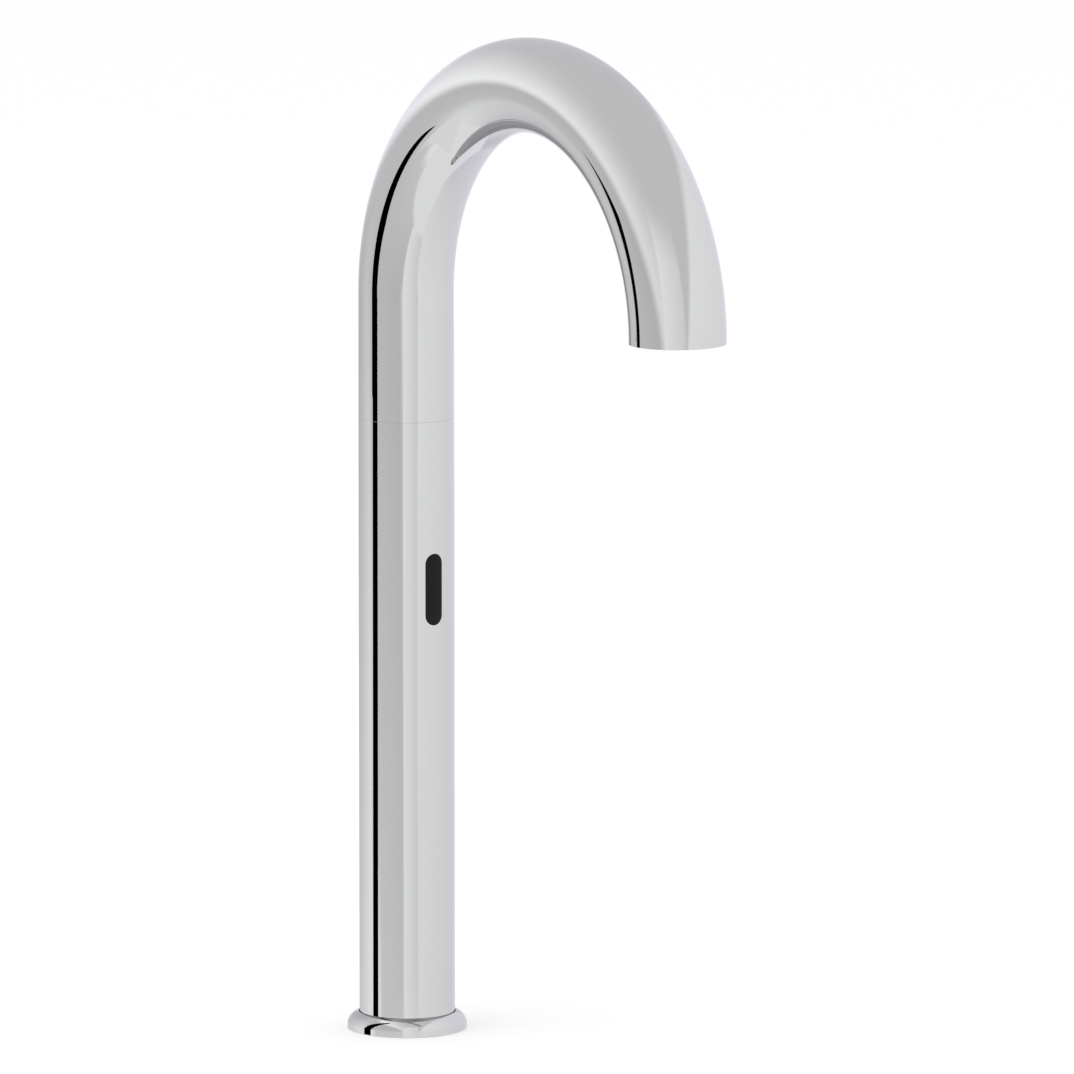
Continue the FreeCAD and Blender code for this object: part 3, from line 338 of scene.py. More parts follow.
swan = {
    "radius": 18.0 * mm,
    "wall": 2.0 * mm,
    "low": 233.01 * mm,      # upper edge of the seam under the spout
    "archHeight": 280.5 * mm,
    "archRadius": 85.5 * mm,
    "rings": 232,
    "around": 144,
    "edge": 0.04 * mm,
    "sharpFrom": 60.0,       # degrees between two faces, from where their edge is rounded
    "bevelSteps": 3,
    "flatWeight": 90,        # keeps the flat ends flat beside their rounded edges
}


def newTree(name, sizes, counts):
    # a geometry tree with named inputs for its sizes, its counts and its material
    tree = bpy.data.node_groups.new(name, "GeometryNodeTree")
    kinds = [(label, "Float") for label in sizes] + [(label, "Int") for label in counts]
    for label, kind in kinds + [("Material", "Material")]:
        tree.interface.new_socket(name=label, in_out="INPUT", socket_type="NodeSocket" + kind)
    tree.interface.new_socket(name="Geometry", in_out="OUTPUT", socket_type="NodeSocketGeometry")
    start, index = tree.nodes.new("NodeGroupInput"), tree.nodes.new("GeometryNodeInputIndex")
    return tree, start.outputs, index.outputs[0]


def passOn(tree, kind, geometry, **values):
    # a node that takes geometry and hands it on changed
    node = tree.nodes.new("GeometryNode" + kind)
    tree.links.new(geometry, node.inputs[0])
    for label, value in values.items():
        tree.links.new(value, node.inputs[label])
    return node.outputs[0]


def endTree(tree, geometry, material):
    real = passOn(tree, "RealizeInstances", geometry)
    coat = passOn(tree, "SetMaterial", real, Material=material)
    tree.links.new(coat, tree.nodes.new("NodeGroupOutput").inputs["Geometry"])
    return tree


def riseAtEnds(step, last, steps):
    # grows from 0 to 1 over some steps at the start, and falls again at the end
    return least(over(least(step, minus(last, step)), steps), 1.0)


def placeRound(tree, mesh, r, angle, z, x=0.0, y=0.0):
    # moves points to a radius and an angle round an upright axis
    x = timesPlus(r, mathNode("COSINE", angle), x)
    y = timesPlus(r, mathNode("SINE", angle), y)
    return passOn(tree, "SetPosition", mesh, Position=joinNode(z, x=x, y=y))


def neckTree():
    tree, start, index = newTree(
        "swanNeckTree", ("Radius", "Low", "Arch height", "Arch radius"), ("Rings", "Around"))
    line = addNode(tree, "GeometryNodeMeshLine", Count=start["Rings"])
    leg = minus(start["Arch height"], start["Low"])
    whole = timesPlus(start["Arch radius"], math.pi, leg)
    along = times(over(index, minus(start["Rings"], 1.0)), whole)
    angle = over(most(minus(along, leg), 0.0), start["Arch radius"])
    out = times(minus(mathNode("COSINE", angle), 1.0), start["Arch radius"])
    rise = timesPlus(mathNode("SINE", angle), start["Arch radius"], least(along, leg))
    place = joinNode(plus(rise, start["Low"]), y=out)
    moved = passOn(tree, "SetPosition", line.outputs["Mesh"], Position=place)
    circle = addNode(
        tree, "GeometryNodeCurvePrimitiveCircle",
        Resolution=start["Around"], Radius=start["Radius"])
    path = passOn(tree, "MeshToCurve", moved)
    skin = passOn(tree, "CurveToMesh", path, **{"Profile Curve": circle.outputs["Curve"]})
    return endTree(tree, skin, start["Material"])


def growMesh(name, tree, values):
    # runs a geometry tree on an empty mesh and keeps the result as a plain mesh
    seed = linkObject(name + "Seed", bpy.data.meshes.new(name + "Seed"))
    grower = seed.modifiers.new("grow", "NODES")
    grower.node_group = tree
    for socket in tree.interface.items_tree:
        if socket.in_out == "INPUT" and socket.name in values:
            grower[socket.identifier] = values[socket.name]
    seed.data.update()
    bpy.context.view_layer.update()
    ready = seed.evaluated_get(bpy.context.evaluated_depsgraph_get())
    mesh = bpy.data.meshes.new_from_object(ready)
    mesh.name = name
    bpy.data.objects.remove(seed)
    pointOutward(mesh, weld=0.001 * mm)
    return mesh


def makeSwanNeck():
    mesh = growMesh("swanNeck", neckTree(), {
        "Radius": swan["radius"], "Low": swan["low"], "Arch height": swan["archHeight"],
        "Arch radius": swan["archRadius"], "Rings": swan["rings"], "Around": swan["around"],
        "Material": chrome})
    neck = linkObject("swan_neck", mesh, chrome)
    wall = neck.modifiers.new("wall", "SOLIDIFY")
    wall.thickness = swan["wall"]
    wall.offset = -1.0
    wall.use_rim = True
    edge = neck.modifiers.new("edge", "BEVEL")
    edge.width = swan["edge"]
    edge.segments = swan["bevelSteps"]
    edge.limit_method = "ANGLE"
    edge.angle_limit = math.radians(swan["sharpFrom"])
    flat = neck.modifiers.new("flat", "WEIGHTED_NORMAL")
    flat.weight = swan["flatWeight"]
    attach(neck, "spout")
    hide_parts("spout_tube")


makeSwanNeck()
print("swan neck grown")


def rounded(corners, steps=6):
    # corners of (radius, height, fillet) become points with their normals, walked with the solid
    # on the left-hand side, so that the normal is on the right
    out = []
    count = len(corners)
    for i, (r, z, fillet) in enumerate(corners):
        here = Vector((r, z))
        back = (Vector(corners[i - 1][:2]) - here).normalized()
        ahead = (Vector(corners[(i + 1) % count][:2]) - here).normalized()
        half = back.angle(ahead) / 2
        reach = fillet / math.tan(half)
        centre = here + (back + ahead).normalized() * (fillet / math.sin(half))
        first = here + back * reach - centre
        last = here + ahead * reach - centre
        sweep = first.angle_signed(last)
        flip = 1.0 if (back.x * ahead.y - back.y * ahead.x) < 0 else -1.0
        for step in range(steps + 1):
            turn = -sweep * step / steps
            arm = Vector((
                first.x * math.cos(turn) - first.y * math.sin(turn),
                first.x * math.sin(turn) + first.y * math.cos(turn)))
            out.append((centre + arm, arm.normalized() * flip))
    return out


def lathe(name, outline, around):
    points, normals, faces = [], [], []
    count = len(outline)
    for turn in range(around):
        angle = 2 * math.pi * turn / around
        c, s = math.cos(angle), math.sin(angle)
        for place, normal in outline:
            points.append((place.x * c, place.x * s, place.y))
            normals.append((normal.x * c, normal.x * s, normal.y))
        for i in range(count):
            j = (i + 1) % count
            a, b = turn * count, (turn + 1) % around * count
            faces.append((a + i, b + i, b + j, a + j))
    return meshFrom(name, points, faces, normals)


ring = {
    "radius": 22.5 * mm,
    "height": 6.6 * mm,
    "band": 2.4 * mm,
    "dome": 6.4 * mm,
    "gap": 0.25 * mm,
    "lip": 2.6 * mm,
    "bore": 14.3 * mm,
    "edge": 0.1 * mm,
    "footEdge": 0.2 * mm,
    "lipEdge": 0.2 * mm,
    "bandEnd": 0.03 * mm,    # keeps the band flat up to the dome
    "around": 192,
    "cornerSteps": 4,
    "domeSteps": 24,
    "lipSteps": 6,
}


def arcPoints(centre, radius, first, last, steps):
    # points of an arc with their outward normals, from one direction to another
    start = math.atan2(first.y, first.x)
    sweep = (math.atan2(last.y, last.x) - start + math.pi) % (2 * math.pi) - math.pi
    out = []
    for step in range(steps + 1):
        angle = start + sweep * step / steps
        arm = Vector((math.cos(angle), math.sin(angle)))
        out.append((centre + arm * radius, arm))
    return out


def makeBaseRing():
    inside = swan["radius"] + ring["gap"]
    foot = Vector((ring["radius"], ring["band"]))
    crown = Vector((inside, ring["height"]))
    chord = crown - foot
    depth = math.sqrt(ring["dome"] ** 2 - (chord.length / 2) ** 2)
    centre = foot + chord / 2 + Vector((-chord.y, chord.x)).normalized() * depth
    lip = ring["lipEdge"]
    small = Vector((inside + lip, 0.0))
    small.y = centre.y + math.sqrt((ring["dome"] - lip) ** 2 - (small.x - centre.x) ** 2)
    steps = ring["cornerSteps"]
    outline = rounded([
        (inside, ring["height"], ring["edge"]),      # this corner and the last only give directions
        (inside, ring["lip"], ring["edge"]),
        (ring["bore"], ring["lip"], ring["edge"]),
        (ring["bore"], 0.0, ring["edge"]),
        (ring["radius"], 0.0, ring["footEdge"]),
        (ring["radius"], ring["band"], ring["edge"]),
    ], steps)[steps + 1:-steps - 1]
    outline.append((Vector((ring["radius"], ring["band"] - ring["bandEnd"])), Vector((1.0, 0.0))))
    outline += arcPoints(centre, ring["dome"], foot - centre, small - centre, ring["domeSteps"])
    outline += arcPoints(small, lip, small - centre, Vector((-1.0, 0.0)), ring["lipSteps"])[1:]
    body = linkObject("base_ring_dome", lathe("baseRingDome", outline, ring["around"]), chrome)
    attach(body, "column")
    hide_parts("base_ring")


makeBaseRing()
print("base ring turned")

column = {
    "low": 2.6 * mm,
    "high": 232.99 * mm,
    "bore": 16.0 * mm,
    "edge": 0.04 * mm,
    "windowHeight": 169.5 * mm,
    "windowWidth": 7.46 * mm,
    "windowTall": 27.06 * mm,
    "patchWidth": 12.0 * mm,
    "patchTall": 34.0 * mm,
    "across": 12,
    "tall": 32,
    "around": 150,
    "chamfer": 0.18 * mm,
    "stepsBelow": 6,
    "stepsAbove": 4,
    "slotSteps": 4,
    "edgeSteps": 3,
}


def mirrorRound(quarter):
    # carries the upper right quarter of an outline on to the left and then below
    half = quarter + [(-x, z) for x, z in reversed(quarter[:-1])]
    return half + [(-x, -z) for x, z in half[1:-1]]


def obround(width, tall, inset, sides, ends):
    # points round an upright slot from its right-hand middle, sides and ends in even steps
    r = width / 2 - inset
    straight = tall / 2 - width / 2
    whole = straight + r * math.pi / 2
    steps = (sides + ends) // 2
    quarter = []
    for i in range(steps + 1):
        go = whole * i / steps
        if go <= straight:
            quarter.append((r, go))
        else:
            angle = (go - straight) / r
            quarter.append((r * math.cos(angle), straight + r * math.sin(angle)))
    return mirrorRound(quarter)


def rectangle(width, tall, sides, ends):
    w, h = width / 2, tall / 2
    quarter = [(w, h * i / (sides / 2)) for i in range(sides // 2 + 1)]
    quarter += [(w - w * i / (ends / 2), h) for i in range(1, ends // 2 + 1)]
    return mirrorRound(quarter)


def onColumn(x, z, r):
    # x runs along the surface from the front line, which faces -Y
    angle = x / swan["radius"]
    return Vector((r * math.sin(angle), -r * math.cos(angle), z))


def straightOn(x, z, r):
    # x is measured across the slot, whose walls run straight back
    return Vector((x, -math.sqrt(r * r - x * x), z))


def towardsMiddle(x, z, straight):
    # direction across the slot from its wall to its middle line
    spine = max(-straight, min(straight, z))
    inward = Vector((-x, 0.0, spine - z))
    return inward.normalized() if inward.length > 1e-9 else Vector((0.0, 0.0, 0.0))


def bridge(loops, faces):
    for first, second in zip(loops, loops[1:]):
        for k in range(len(first)):
            n = (k + 1) % len(first)
            faces.append((first[k], first[n], second[n], second[k]))


def makeColumn():
    outer = swan["radius"]
    tall, across, e = column["tall"], column["across"], column["edge"]
    middle = column["windowHeight"]
    points, normals, faces = [], [], []

    def add(place, normal):
        points.append(place)
        normals.append(normal)
        return len(points) - 1

    def radial(x, sign=1.0, tilt=0.0):
        out = onColumn(x, 0.0, 1.0) * sign * math.cos(tilt)
        return Vector((out.x, out.y, math.sin(tilt)))

    half = column["patchWidth"] / 2
    xs = [half - column["patchWidth"] * i / across for i in range(across + 1)][::-1]
    rest = 2 * math.pi * outer - column["patchWidth"]
    xs += [half + rest * i / column["around"] for i in range(1, column["around"])]
    patchLow = middle - column["patchTall"] / 2
    side = [patchLow + column["patchTall"] * i / tall for i in range(tall + 1)]
    low, high = column["low"] + e, column["high"] - e
    steps, stepsAbove = column["stepsBelow"], column["stepsAbove"]
    below = [low + (side[0] - low) * i / steps for i in range(steps)]
    above = [side[-1] + (high - side[-1]) * (i + 1) / stepsAbove for i in range(stepsAbove)]
    zs = below + side + above
    count = len(xs)

    def wall(r, sign):
        # a grid of points round the column, with a hole where the patch with the slot comes
        grid = {}
        for i, x in enumerate(xs):
            for j, z in enumerate(zs):
                if not (0 < i < across and len(below) < j < len(below) + tall):
                    grid[i, j] = add(onColumn(x, z, r), radial(x, sign))
        for i in range(count):
            n = (i + 1) % count
            for j in range(len(zs) - 1):
                if i >= across or not len(below) <= j < len(below) + tall:
                    faces.append((grid[i, j], grid[n, j], grid[n, j + 1], grid[i, j + 1]))
        edge = []
        for x, z in rectangle(column["patchWidth"], column["patchTall"], tall, across):
            i = min(range(across + 1), key=lambda k: abs(xs[k] - x))
            j = min(range(len(zs)), key=lambda k: abs(zs[k] - middle - z))
            edge.append(grid[i, j])
        return grid, edge

    grid, border = wall(outer, 1.0)
    inner, innerBorder = wall(column["bore"], -1.0)
    w, h, c = column["windowWidth"], column["windowTall"], column["chamfer"]
    straight = h / 2 - w / 2
    loops = [border]
    square = rectangle(column["patchWidth"], column["patchTall"], tall, across)
    rim = [(outer * math.asin(x / outer), z) for x, z in obround(w, h, -c, tall, across)]
    loops.append([
        add(onColumn((a + b) / 2, middle + (p + q) / 2, outer), radial((a + b) / 2))
        for (a, p), (b, q) in zip(square, rim)])
    for step in range(column["slotSteps"] + 1):
        turn = math.pi / 2 * step / column["slotSteps"]
        row = []
        for x, z in obround(w, h, c * math.sin(turn) - c, tall, across):
            place = straightOn(x, middle + z, outer - c * (1 - math.cos(turn)))
            out = Vector((place.x, place.y, 0.0)).normalized() * math.cos(turn)
            row.append(add(place, out + towardsMiddle(x, z, straight) * math.sin(turn)))
        loops.append(row)
    loops.append([
        add(straightOn(x, middle + z, column["bore"]), towardsMiddle(x, z, straight))
        for x, z in obround(w, h, 0.0, tall, across)])
    loops.append(innerBorder)
    bridge(loops, faces)
    # rounded edges and flat ends at the foot and at the seam
    for zEdge, j, up in ((column["low"], 0, -1), (column["high"], len(zs) - 1, 1)):
        rows = [[grid[i, j] for i in range(count)]]
        turns = [math.pi / 2 * (k + 1) / column["edgeSteps"] for k in range(column["edgeSteps"])]
        bends = [(outer, 1.0, turn) for turn in turns]
        bends += [(column["bore"], -1.0, turn) for turn in reversed(turns)]
        for base, sign, turn in bends:
            r = base + sign * e * (math.cos(turn) - 1)
            z = zEdge + up * e * (math.sin(turn) - 1)
            rows.append([add(onColumn(x, z, r), radial(x, sign, up * turn)) for x in xs])
        rows.append([inner[i, j] for i in range(count)])
        bridge(rows, faces)
    shell = linkObject("column_shell", meshFrom("columnShell", points, faces, normals), chrome)
    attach(shell, "column")
    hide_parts("column_tube")


makeColumn()
print("column shell made")

lens = {
    "width": 7.4 * mm,
    "tall": 27.0 * mm,
    "recess": 0.1 * mm,
    "round": 0.35 * mm,
    "back": 13.5 * mm,
    "flangeFront": 15.25 * mm,
    "flangeWidth": 11.0 * mm,
    "flangeTall": 30.6 * mm,
    "sides": 32,
    "ends": 24,
    "roundSteps": 6,
    "backInset": 2.0 * mm,
    "faceInsets": (0.8 * mm, 1.6 * mm, 2.4 * mm, 3.2 * mm),
}


def capLoop(row, faces):
    # closes a loop with strips that run from its upper half to its lower half
    count = len(row)
    for k in range(count // 2):
        strip = [row[k], row[k + 1], row[(count - k - 1) % count], row[(count - k) % count]]
        faces.append(tuple(dict.fromkeys(strip)))


def makeLens():
    face = swan["radius"] - lens["recess"]
    middle = column["windowHeight"]
    points, normals, faces, loops = [], [], [], []

    def addLoop(width, tall, inset, radius, turn):
        # radius None lays the loop on the flat back
        straight = (tall - width) / 2
        row = []
        for x, z in obround(width, tall, inset, lens["sides"], lens["ends"]):
            place = Vector((x, -lens["back"], middle + z))
            front = Vector((0.0, 1.0, 0.0))
            if radius:
                place = straightOn(x, middle + z, radius)
                front = Vector((place.x, place.y, 0.0)).normalized()
            points.append(place)
            normals.append(front * math.cos(turn) - towardsMiddle(x, z, straight) * math.sin(turn))
            row.append(len(points) - 1)
        loops.append(row)

    w, h, soft = lens["width"], lens["tall"], lens["round"]
    wide, long = lens["flangeWidth"], lens["flangeTall"]
    addLoop(wide, long, lens["backInset"], None, 0.0)
    addLoop(wide, long, 0.0, None, math.pi / 4)
    addLoop(wide, long, 0.0, lens["flangeFront"], math.pi / 4)
    addLoop(w, h, 0.0, lens["flangeFront"], math.pi / 4)
    for step in range(lens["roundSteps"] + 1):
        turn = math.pi / 2 * (1 - step / lens["roundSteps"])
        addLoop(w, h, soft * (1 - math.sin(turn)), face - soft * (1 - math.cos(turn)), turn)
    for inset in lens["faceInsets"]:
        addLoop(w, h, inset, face, 0.0)
    bridge(loops, faces)
    capLoop(loops[0], faces)
    capLoop(loops[-1], faces)
    piece = linkObject("sensor_lens", meshFrom("sensorLens", points, faces, normals), lensBlack)
    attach(piece, "column")
    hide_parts("sensor_window")


makeLens()
print("sensor lens made")

shank = {
    "radius": 14.0 * mm,
    "root": 13.08 * mm,
    "bore": 11.5 * mm,
    "low": -55.0 * mm,
    "chamfer": 1.0 * mm,
    "head": 3.0 * mm,
    "headRadius": 15.95 * mm,
    "top": 16.0 * mm,
    "edge": 0.1 * mm,
    "pitch": 1.5 * mm,
    "turns": 37,
    "perTurn": 48,
    "fade": 24,              # steps over which the ridge rises at each end
    "firstTurn": 0.6,        # of a pitch above the shank's end
    "foot": 0.47,            # half of the ridge's width, of a pitch
    "sunk": 0.05 * mm,       # of the ridge into the core
    "sharpFrom": 35.0,
    "around": 96,
    "cornerSteps": 3,
}


def threadTree():
    # a V-shaped ridge wound round the upright axis: four corners to each step along it
    tree, start, index = newTree(
        "threadTree", ("Radius", "Root", "Pitch", "Low", "Width"), ("Steps", "Per turn", "Fade"))
    row = 5            # four corners, with the first once more
    middle = 1.5       # between the second and the third
    grid = addNode(
        tree, "GeometryNodeMeshGrid", **{"Vertices X": start["Steps"], "Vertices Y": row})
    step = mathNode("FLOOR", over(index, row))
    corner = mathNode("MODULO", mathNode("MODULO", index, row), row - 1)
    side = over(minus(corner, middle), middle)
    crest = mathNode("LESS_THAN", mathNode("ABSOLUTE", side), 0.5)
    rise = riseAtEnds(step, minus(start["Steps"], 1.0), start["Fade"])
    deep = times(minus(start["Radius"], start["Root"]), rise)
    r = timesPlus(deep, crest, start["Root"])
    turn = over(step, start["Per turn"])
    width = times(side, mathNode("ABSOLUTE", side))
    z = timesPlus(turn, start["Pitch"], start["Low"])
    z = timesPlus(width, times(start["Width"], rise), z)
    moved = placeRound(tree, grid.outputs["Mesh"], r, times(turn, 2 * math.pi), z)
    return endTree(tree, moved, start["Material"])


def makeShank():
    e = shank["edge"]
    outline = rounded([
        (shank["bore"], shank["top"], e),
        (shank["bore"], shank["low"], e),
        (shank["root"] - shank["chamfer"] / 2, shank["low"], e),
        (shank["root"], shank["low"] + shank["chamfer"] / 2, e),
        (shank["root"], shank["head"], e),
        (shank["headRadius"], shank["head"], e),
        (shank["headRadius"], shank["top"], e),
    ], shank["cornerSteps"])
    brass = finishes["raw_brass"]
    core = linkObject("threaded_shank", lathe("threadedShank", outline, shank["around"]), brass)
    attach(core, "column")
    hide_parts("mounting_shank")
    mesh = growMesh("shankThread", threadTree(), {
        "Radius": shank["radius"], "Root": shank["root"] - shank["sunk"], "Pitch": shank["pitch"],
        "Low": shank["low"] + shank["pitch"] * shank["firstTurn"],
        "Width": shank["pitch"] * shank["foot"],
        "Steps": shank["turns"] * shank["perTurn"] + 1, "Per turn": shank["perTurn"],
        "Fade": shank["fade"], "Material": brass})
    mesh.set_sharp_from_angle(angle=math.radians(shank["sharpFrom"]))
    ridge = linkObject("shank_thread", mesh, brass)
    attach(ridge, "column")


makeShank()
print("shank threaded")

# travel of what presses each spring, whose upper end stays where it is
springs = {
    "plunger_spring": {
        "joint": "plunger_lift", "travel": 1.6 * mm, "turns": 6.5, "wire": 0.4 * mm},
    "check_valve_spring": {
        "joint": "check_valve_lift", "travel": 2.0 * mm, "turns": 4.0, "wire": 0.4 * mm},
}
winding = {
    "stepsPerTurn": 36,
    "sides": 10,
    "closeTurns": 0.75,      # at each end
    "taperSteps": 2,         # over which the wire grows thick
}


def springTree():
    # wire wound from low to high, with its two end turns lying close
    tree, start, index = newTree(
        "springTree",
        ("Coil radius", "Wire radius", "Low", "High", "Turns", "Place X", "Place Y"),
        ("Steps", "Sides"))
    row = plus(start["Sides"], 1.0)
    grid = addNode(
        tree, "GeometryNodeMeshGrid", **{"Vertices X": start["Steps"], "Vertices Y": row})
    step = mathNode("FLOOR", over(plus(index, 0.5), row))
    side = minus(index, times(step, row))
    about = times(over(side, start["Sides"]), 2 * math.pi)
    last = minus(start["Steps"], 1.0)
    turn = times(over(step, last), start["Turns"])
    swell = mathNode("POWER", riseAtEnds(step, last, winding["taperSteps"]), 0.5)
    wire = times(start["Wire radius"], swell)
    # height of the wire's middle: close turns at both ends, the open ones between them
    still = winding["closeTurns"]
    thick = times(start["Wire radius"], 2.0)
    until = minus(start["Turns"], still)
    close = plus(least(turn, still), most(minus(turn, until), 0.0))
    room = minus(minus(start["High"], start["Low"]), times(thick, 2 * still + 1))
    z = timesPlus(close, thick, rangeNode(turn, still, until, 0.0, room))
    z = plus(z, plus(start["Low"], start["Wire radius"]))
    z = timesPlus(wire, mathNode("SINE", about), z)
    r = timesPlus(wire, mathNode("COSINE", about), start["Coil radius"])
    angle = times(turn, 2 * math.pi)
    moved = placeRound(
        tree, grid.outputs["Mesh"], r, angle, z, start["Place X"], start["Place Y"])
    return endTree(tree, moved, start["Material"])


def makeSprings():
    tree = springTree()
    steel = finishes["stainless_steel"]
    for label, size in springs.items():
        low, high = (Vector(corner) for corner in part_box(label))
        wire = size["wire"] / 2
        mesh = growMesh(label + "Wound", tree, {
            "Coil radius": (high.y - low.y) / 2 - wire, "Wire radius": wire,
            "Low": low.z, "High": high.z, "Turns": size["turns"],
            "Place X": (low.x + high.x) / 2, "Place Y": (low.y + high.y) / 2,
            "Steps": int(size["turns"] * winding["stepsPerTurn"]) + 1,
            "Sides": winding["sides"], "Material": steel})
        coil = linkObject(label + "_wound", mesh, steel)
        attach(coil, "column")
        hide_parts(label)
        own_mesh(coil)


makeSprings()
print("springs wound")

# the membrane's clamped rim stays while its middle lifts: (radius, height) in millimetres
membrane = {
    "web": [(0.4, 58.0), (0.4, 57.0), (4.8, 57.0), (6.18, 56.4), (7.46, 58.48), (7.52, 58.9),
            (7.26, 58.98), (6.96, 58.6), (6.18, 57.3), (4.7, 58.0)],
    "rim": [(7.3, 58.98), (7.46, 58.0), (9.16, 58.0), (9.16, 59.0)],
    "edge": 0.06,
    "still": 58.46,       # what is higher stays with the rim
    "lifts": 58.03,       # what is lower lifts with the middle
    "around": 96,
    "cornerSteps": 2,
}


def makeMembrane():
    low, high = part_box("diaphragm_membrane")
    middle = ((low[0] + high[0]) / 2, (low[1] + high[1]) / 2)
    rubber = finishes[slotOf["diaphragm_membrane"]]
    made = {}
    for label in ("web", "rim"):
        corners = [(r * mm, z * mm, membrane["edge"] * mm) for r, z in membrane[label]]
        outline = rounded(corners, membrane["cornerSteps"])
        mesh = lathe("membrane" + label.capitalize(), outline, membrane["around"])
        mesh.transform(Matrix.Translation((*middle, 0.0)))
        made[label] = linkObject("membrane_" + label, mesh, rubber)
    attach(made["rim"], "column")
    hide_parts("diaphragm_membrane")
    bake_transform(made["web"])


makeMembrane()
print("membrane laid")

shot = {
    "target": (0.04305, -0.02403, 0.18622),
    "azimuth": -35.8674,
    "elevation": 9.0238,
    "distance": 5.2421,
    "sensor": 36.0,
    "lens": 467.67,
    "clip": (0.05, 60.0),
}


def aimCamera():
    a, e = math.radians(shot["azimuth"]), math.radians(shot["elevation"])
    back = Vector((math.sin(a) * math.cos(e), -math.cos(a) * math.cos(e), math.sin(e)))
    eye = bpy.data.cameras.new("studioCamera")
    eye.sensor_width = shot["sensor"]
    eye.lens = shot["lens"]
    eye.clip_start, eye.clip_end = shot["clip"]
    camera = linkObject("studioCamera", eye)
    camera.location = Vector(shot["target"]) + back * shot["distance"]
    camera.rotation_mode = "QUATERNION"
    camera.rotation_quaternion = (-back).to_track_quat("-Z", "Y")
    scene.camera = camera


aimCamera()
print("camera aimed")

studio = {
    "skyLevel": 0.86,
    "lampSize": 1.4,
    "lampPower": 4.5,
    "lampPlace": (-0.9, 0.2, 1.9),
}


def lightWorld():
    # white behind the object, a little less for what lights it, because the lamp adds the rest
    world = bpy.data.worlds.new("studioWorld")
    scene.world = world
    world.use_nodes = True
    tree = world.node_tree
    back = tree.nodes["Background"]
    back.inputs["Color"].default_value = (1, 1, 1, 1)
    seen = tree.nodes.new("ShaderNodeLightPath").outputs["Is Camera Ray"]
    level = timesPlus(seen, 1.0 - studio["skyLevel"], studio["skyLevel"])
    tree.links.new(level, back.inputs["Strength"])


def hangLamp():
    light = bpy.data.lights.new("softLamp", "AREA")
    light.shape = "DISK"
    light.size = studio["lampSize"]
    light.energy = studio["lampPower"]
    lamp = linkObject("softLamp", light)
    lamp.location = studio["lampPlace"]
    lamp.rotation_mode = "QUATERNION"
    aim = Vector(shot["target"]) - lamp.location
    lamp.rotation_quaternion = aim.to_track_quat("-Z", "Y")
    lamp.visible_glossy = False


lightWorld()
hangLamp()
print("world and lamp set")

# the light tent that the chrome mirrors: angles in degrees round its middle, as the camera sees
# it, with 0 towards the camera and 90 to the right
tent = {
    "middle": (0.01347, -0.08378, 0.1),
    "radius": 0.4,
    "right": (0.81037, -0.58592, 0.0),
    "toward": (-0.58592, -0.81037, 0.0),
    "wall": 0.70,
    "floorTop": -26.5,
    "floorSoft": 8.0,
    "floorLevel": 0.97,
    # painted shade: the tent's light is cut to this share where the chrome mirrors it twice
    "paintedSecondShade": 0.56,      # of the light, for what is mirrored twice
    "secondDepth": 1.5,
    "plain": (1.0, 1.0, 0.995),
    "lilac": (0.985, 0.98, 1.045),
    "around": 96,
    "rows": 48,
}
# each card's width and height are halves, and its level may change by across and up towards its
# right and upper edge
cards = {
    "halo": {"azimuth": -73.0, "elevation": -2.4, "width": 82.0, "height": 69.0, "corner": 2.8,
             "soft": 37.0, "level": 1.27, "across": -0.30, "up": -0.28},
    "backLight": {"azimuth": 188.0, "elevation": 30.4, "width": 21.0, "height": 18.2,
                  "corner": 6.3, "soft": 17.8, "level": 1.13, "across": 0.03, "up": -0.06},
    "greyWall": {"azimuth": -91.8, "elevation": -10.2, "width": 77.8, "height": 55.5, "corner": 2.5,
                 "soft": 11.2, "level": 0.75, "across": -0.08, "up": -0.125},
    "sideWall": {"azimuth": -129.5, "elevation": -5.2, "width": 31.0, "height": 32.8, "corner": 2.1,
                 "soft": 12.9, "level": 0.77, "across": 0.23, "up": -0.14},
    "lightDoor": {"azimuth": 1.5, "elevation": -24.0, "width": 18.5, "height": 75.4, "corner": 13.6,
                  "soft": 4.0, "level": 0.90, "across": -0.09, "up": 0.03},
    "floorGlow": {"azimuth": -90.0, "elevation": -32.0, "width": 15.0, "height": 20.0,
                  "corner": 2.0, "soft": 10.0, "level": 1.03},
    "window": {"azimuth": 98.1, "elevation": -8.9, "width": 77.0, "height": 71.7, "corner": 2.7,
               "soft": 6.0, "level": 0.886, "across": -0.064, "up": 0.07},
    "coolRight": {"azimuth": 150.0, "elevation": 0.0, "width": 38.0, "height": 80.0, "corner": 4.0,
                  "soft": 24.0, "level": 1.0},
    "coolLeft": {"azimuth": -155.0, "elevation": 0.0, "width": 24.0, "height": 80.0, "corner": 4.0,
                 "soft": 24.0, "level": 1.0},
}
cardInputs = {
    "azimuth": "Card azimuth", "elevation": "Card elevation", "width": "Half width",
    "height": "Half height", "corner": "Corner", "soft": "Softness", "level": "Level",
    "across": "Across", "up": "Up",
}


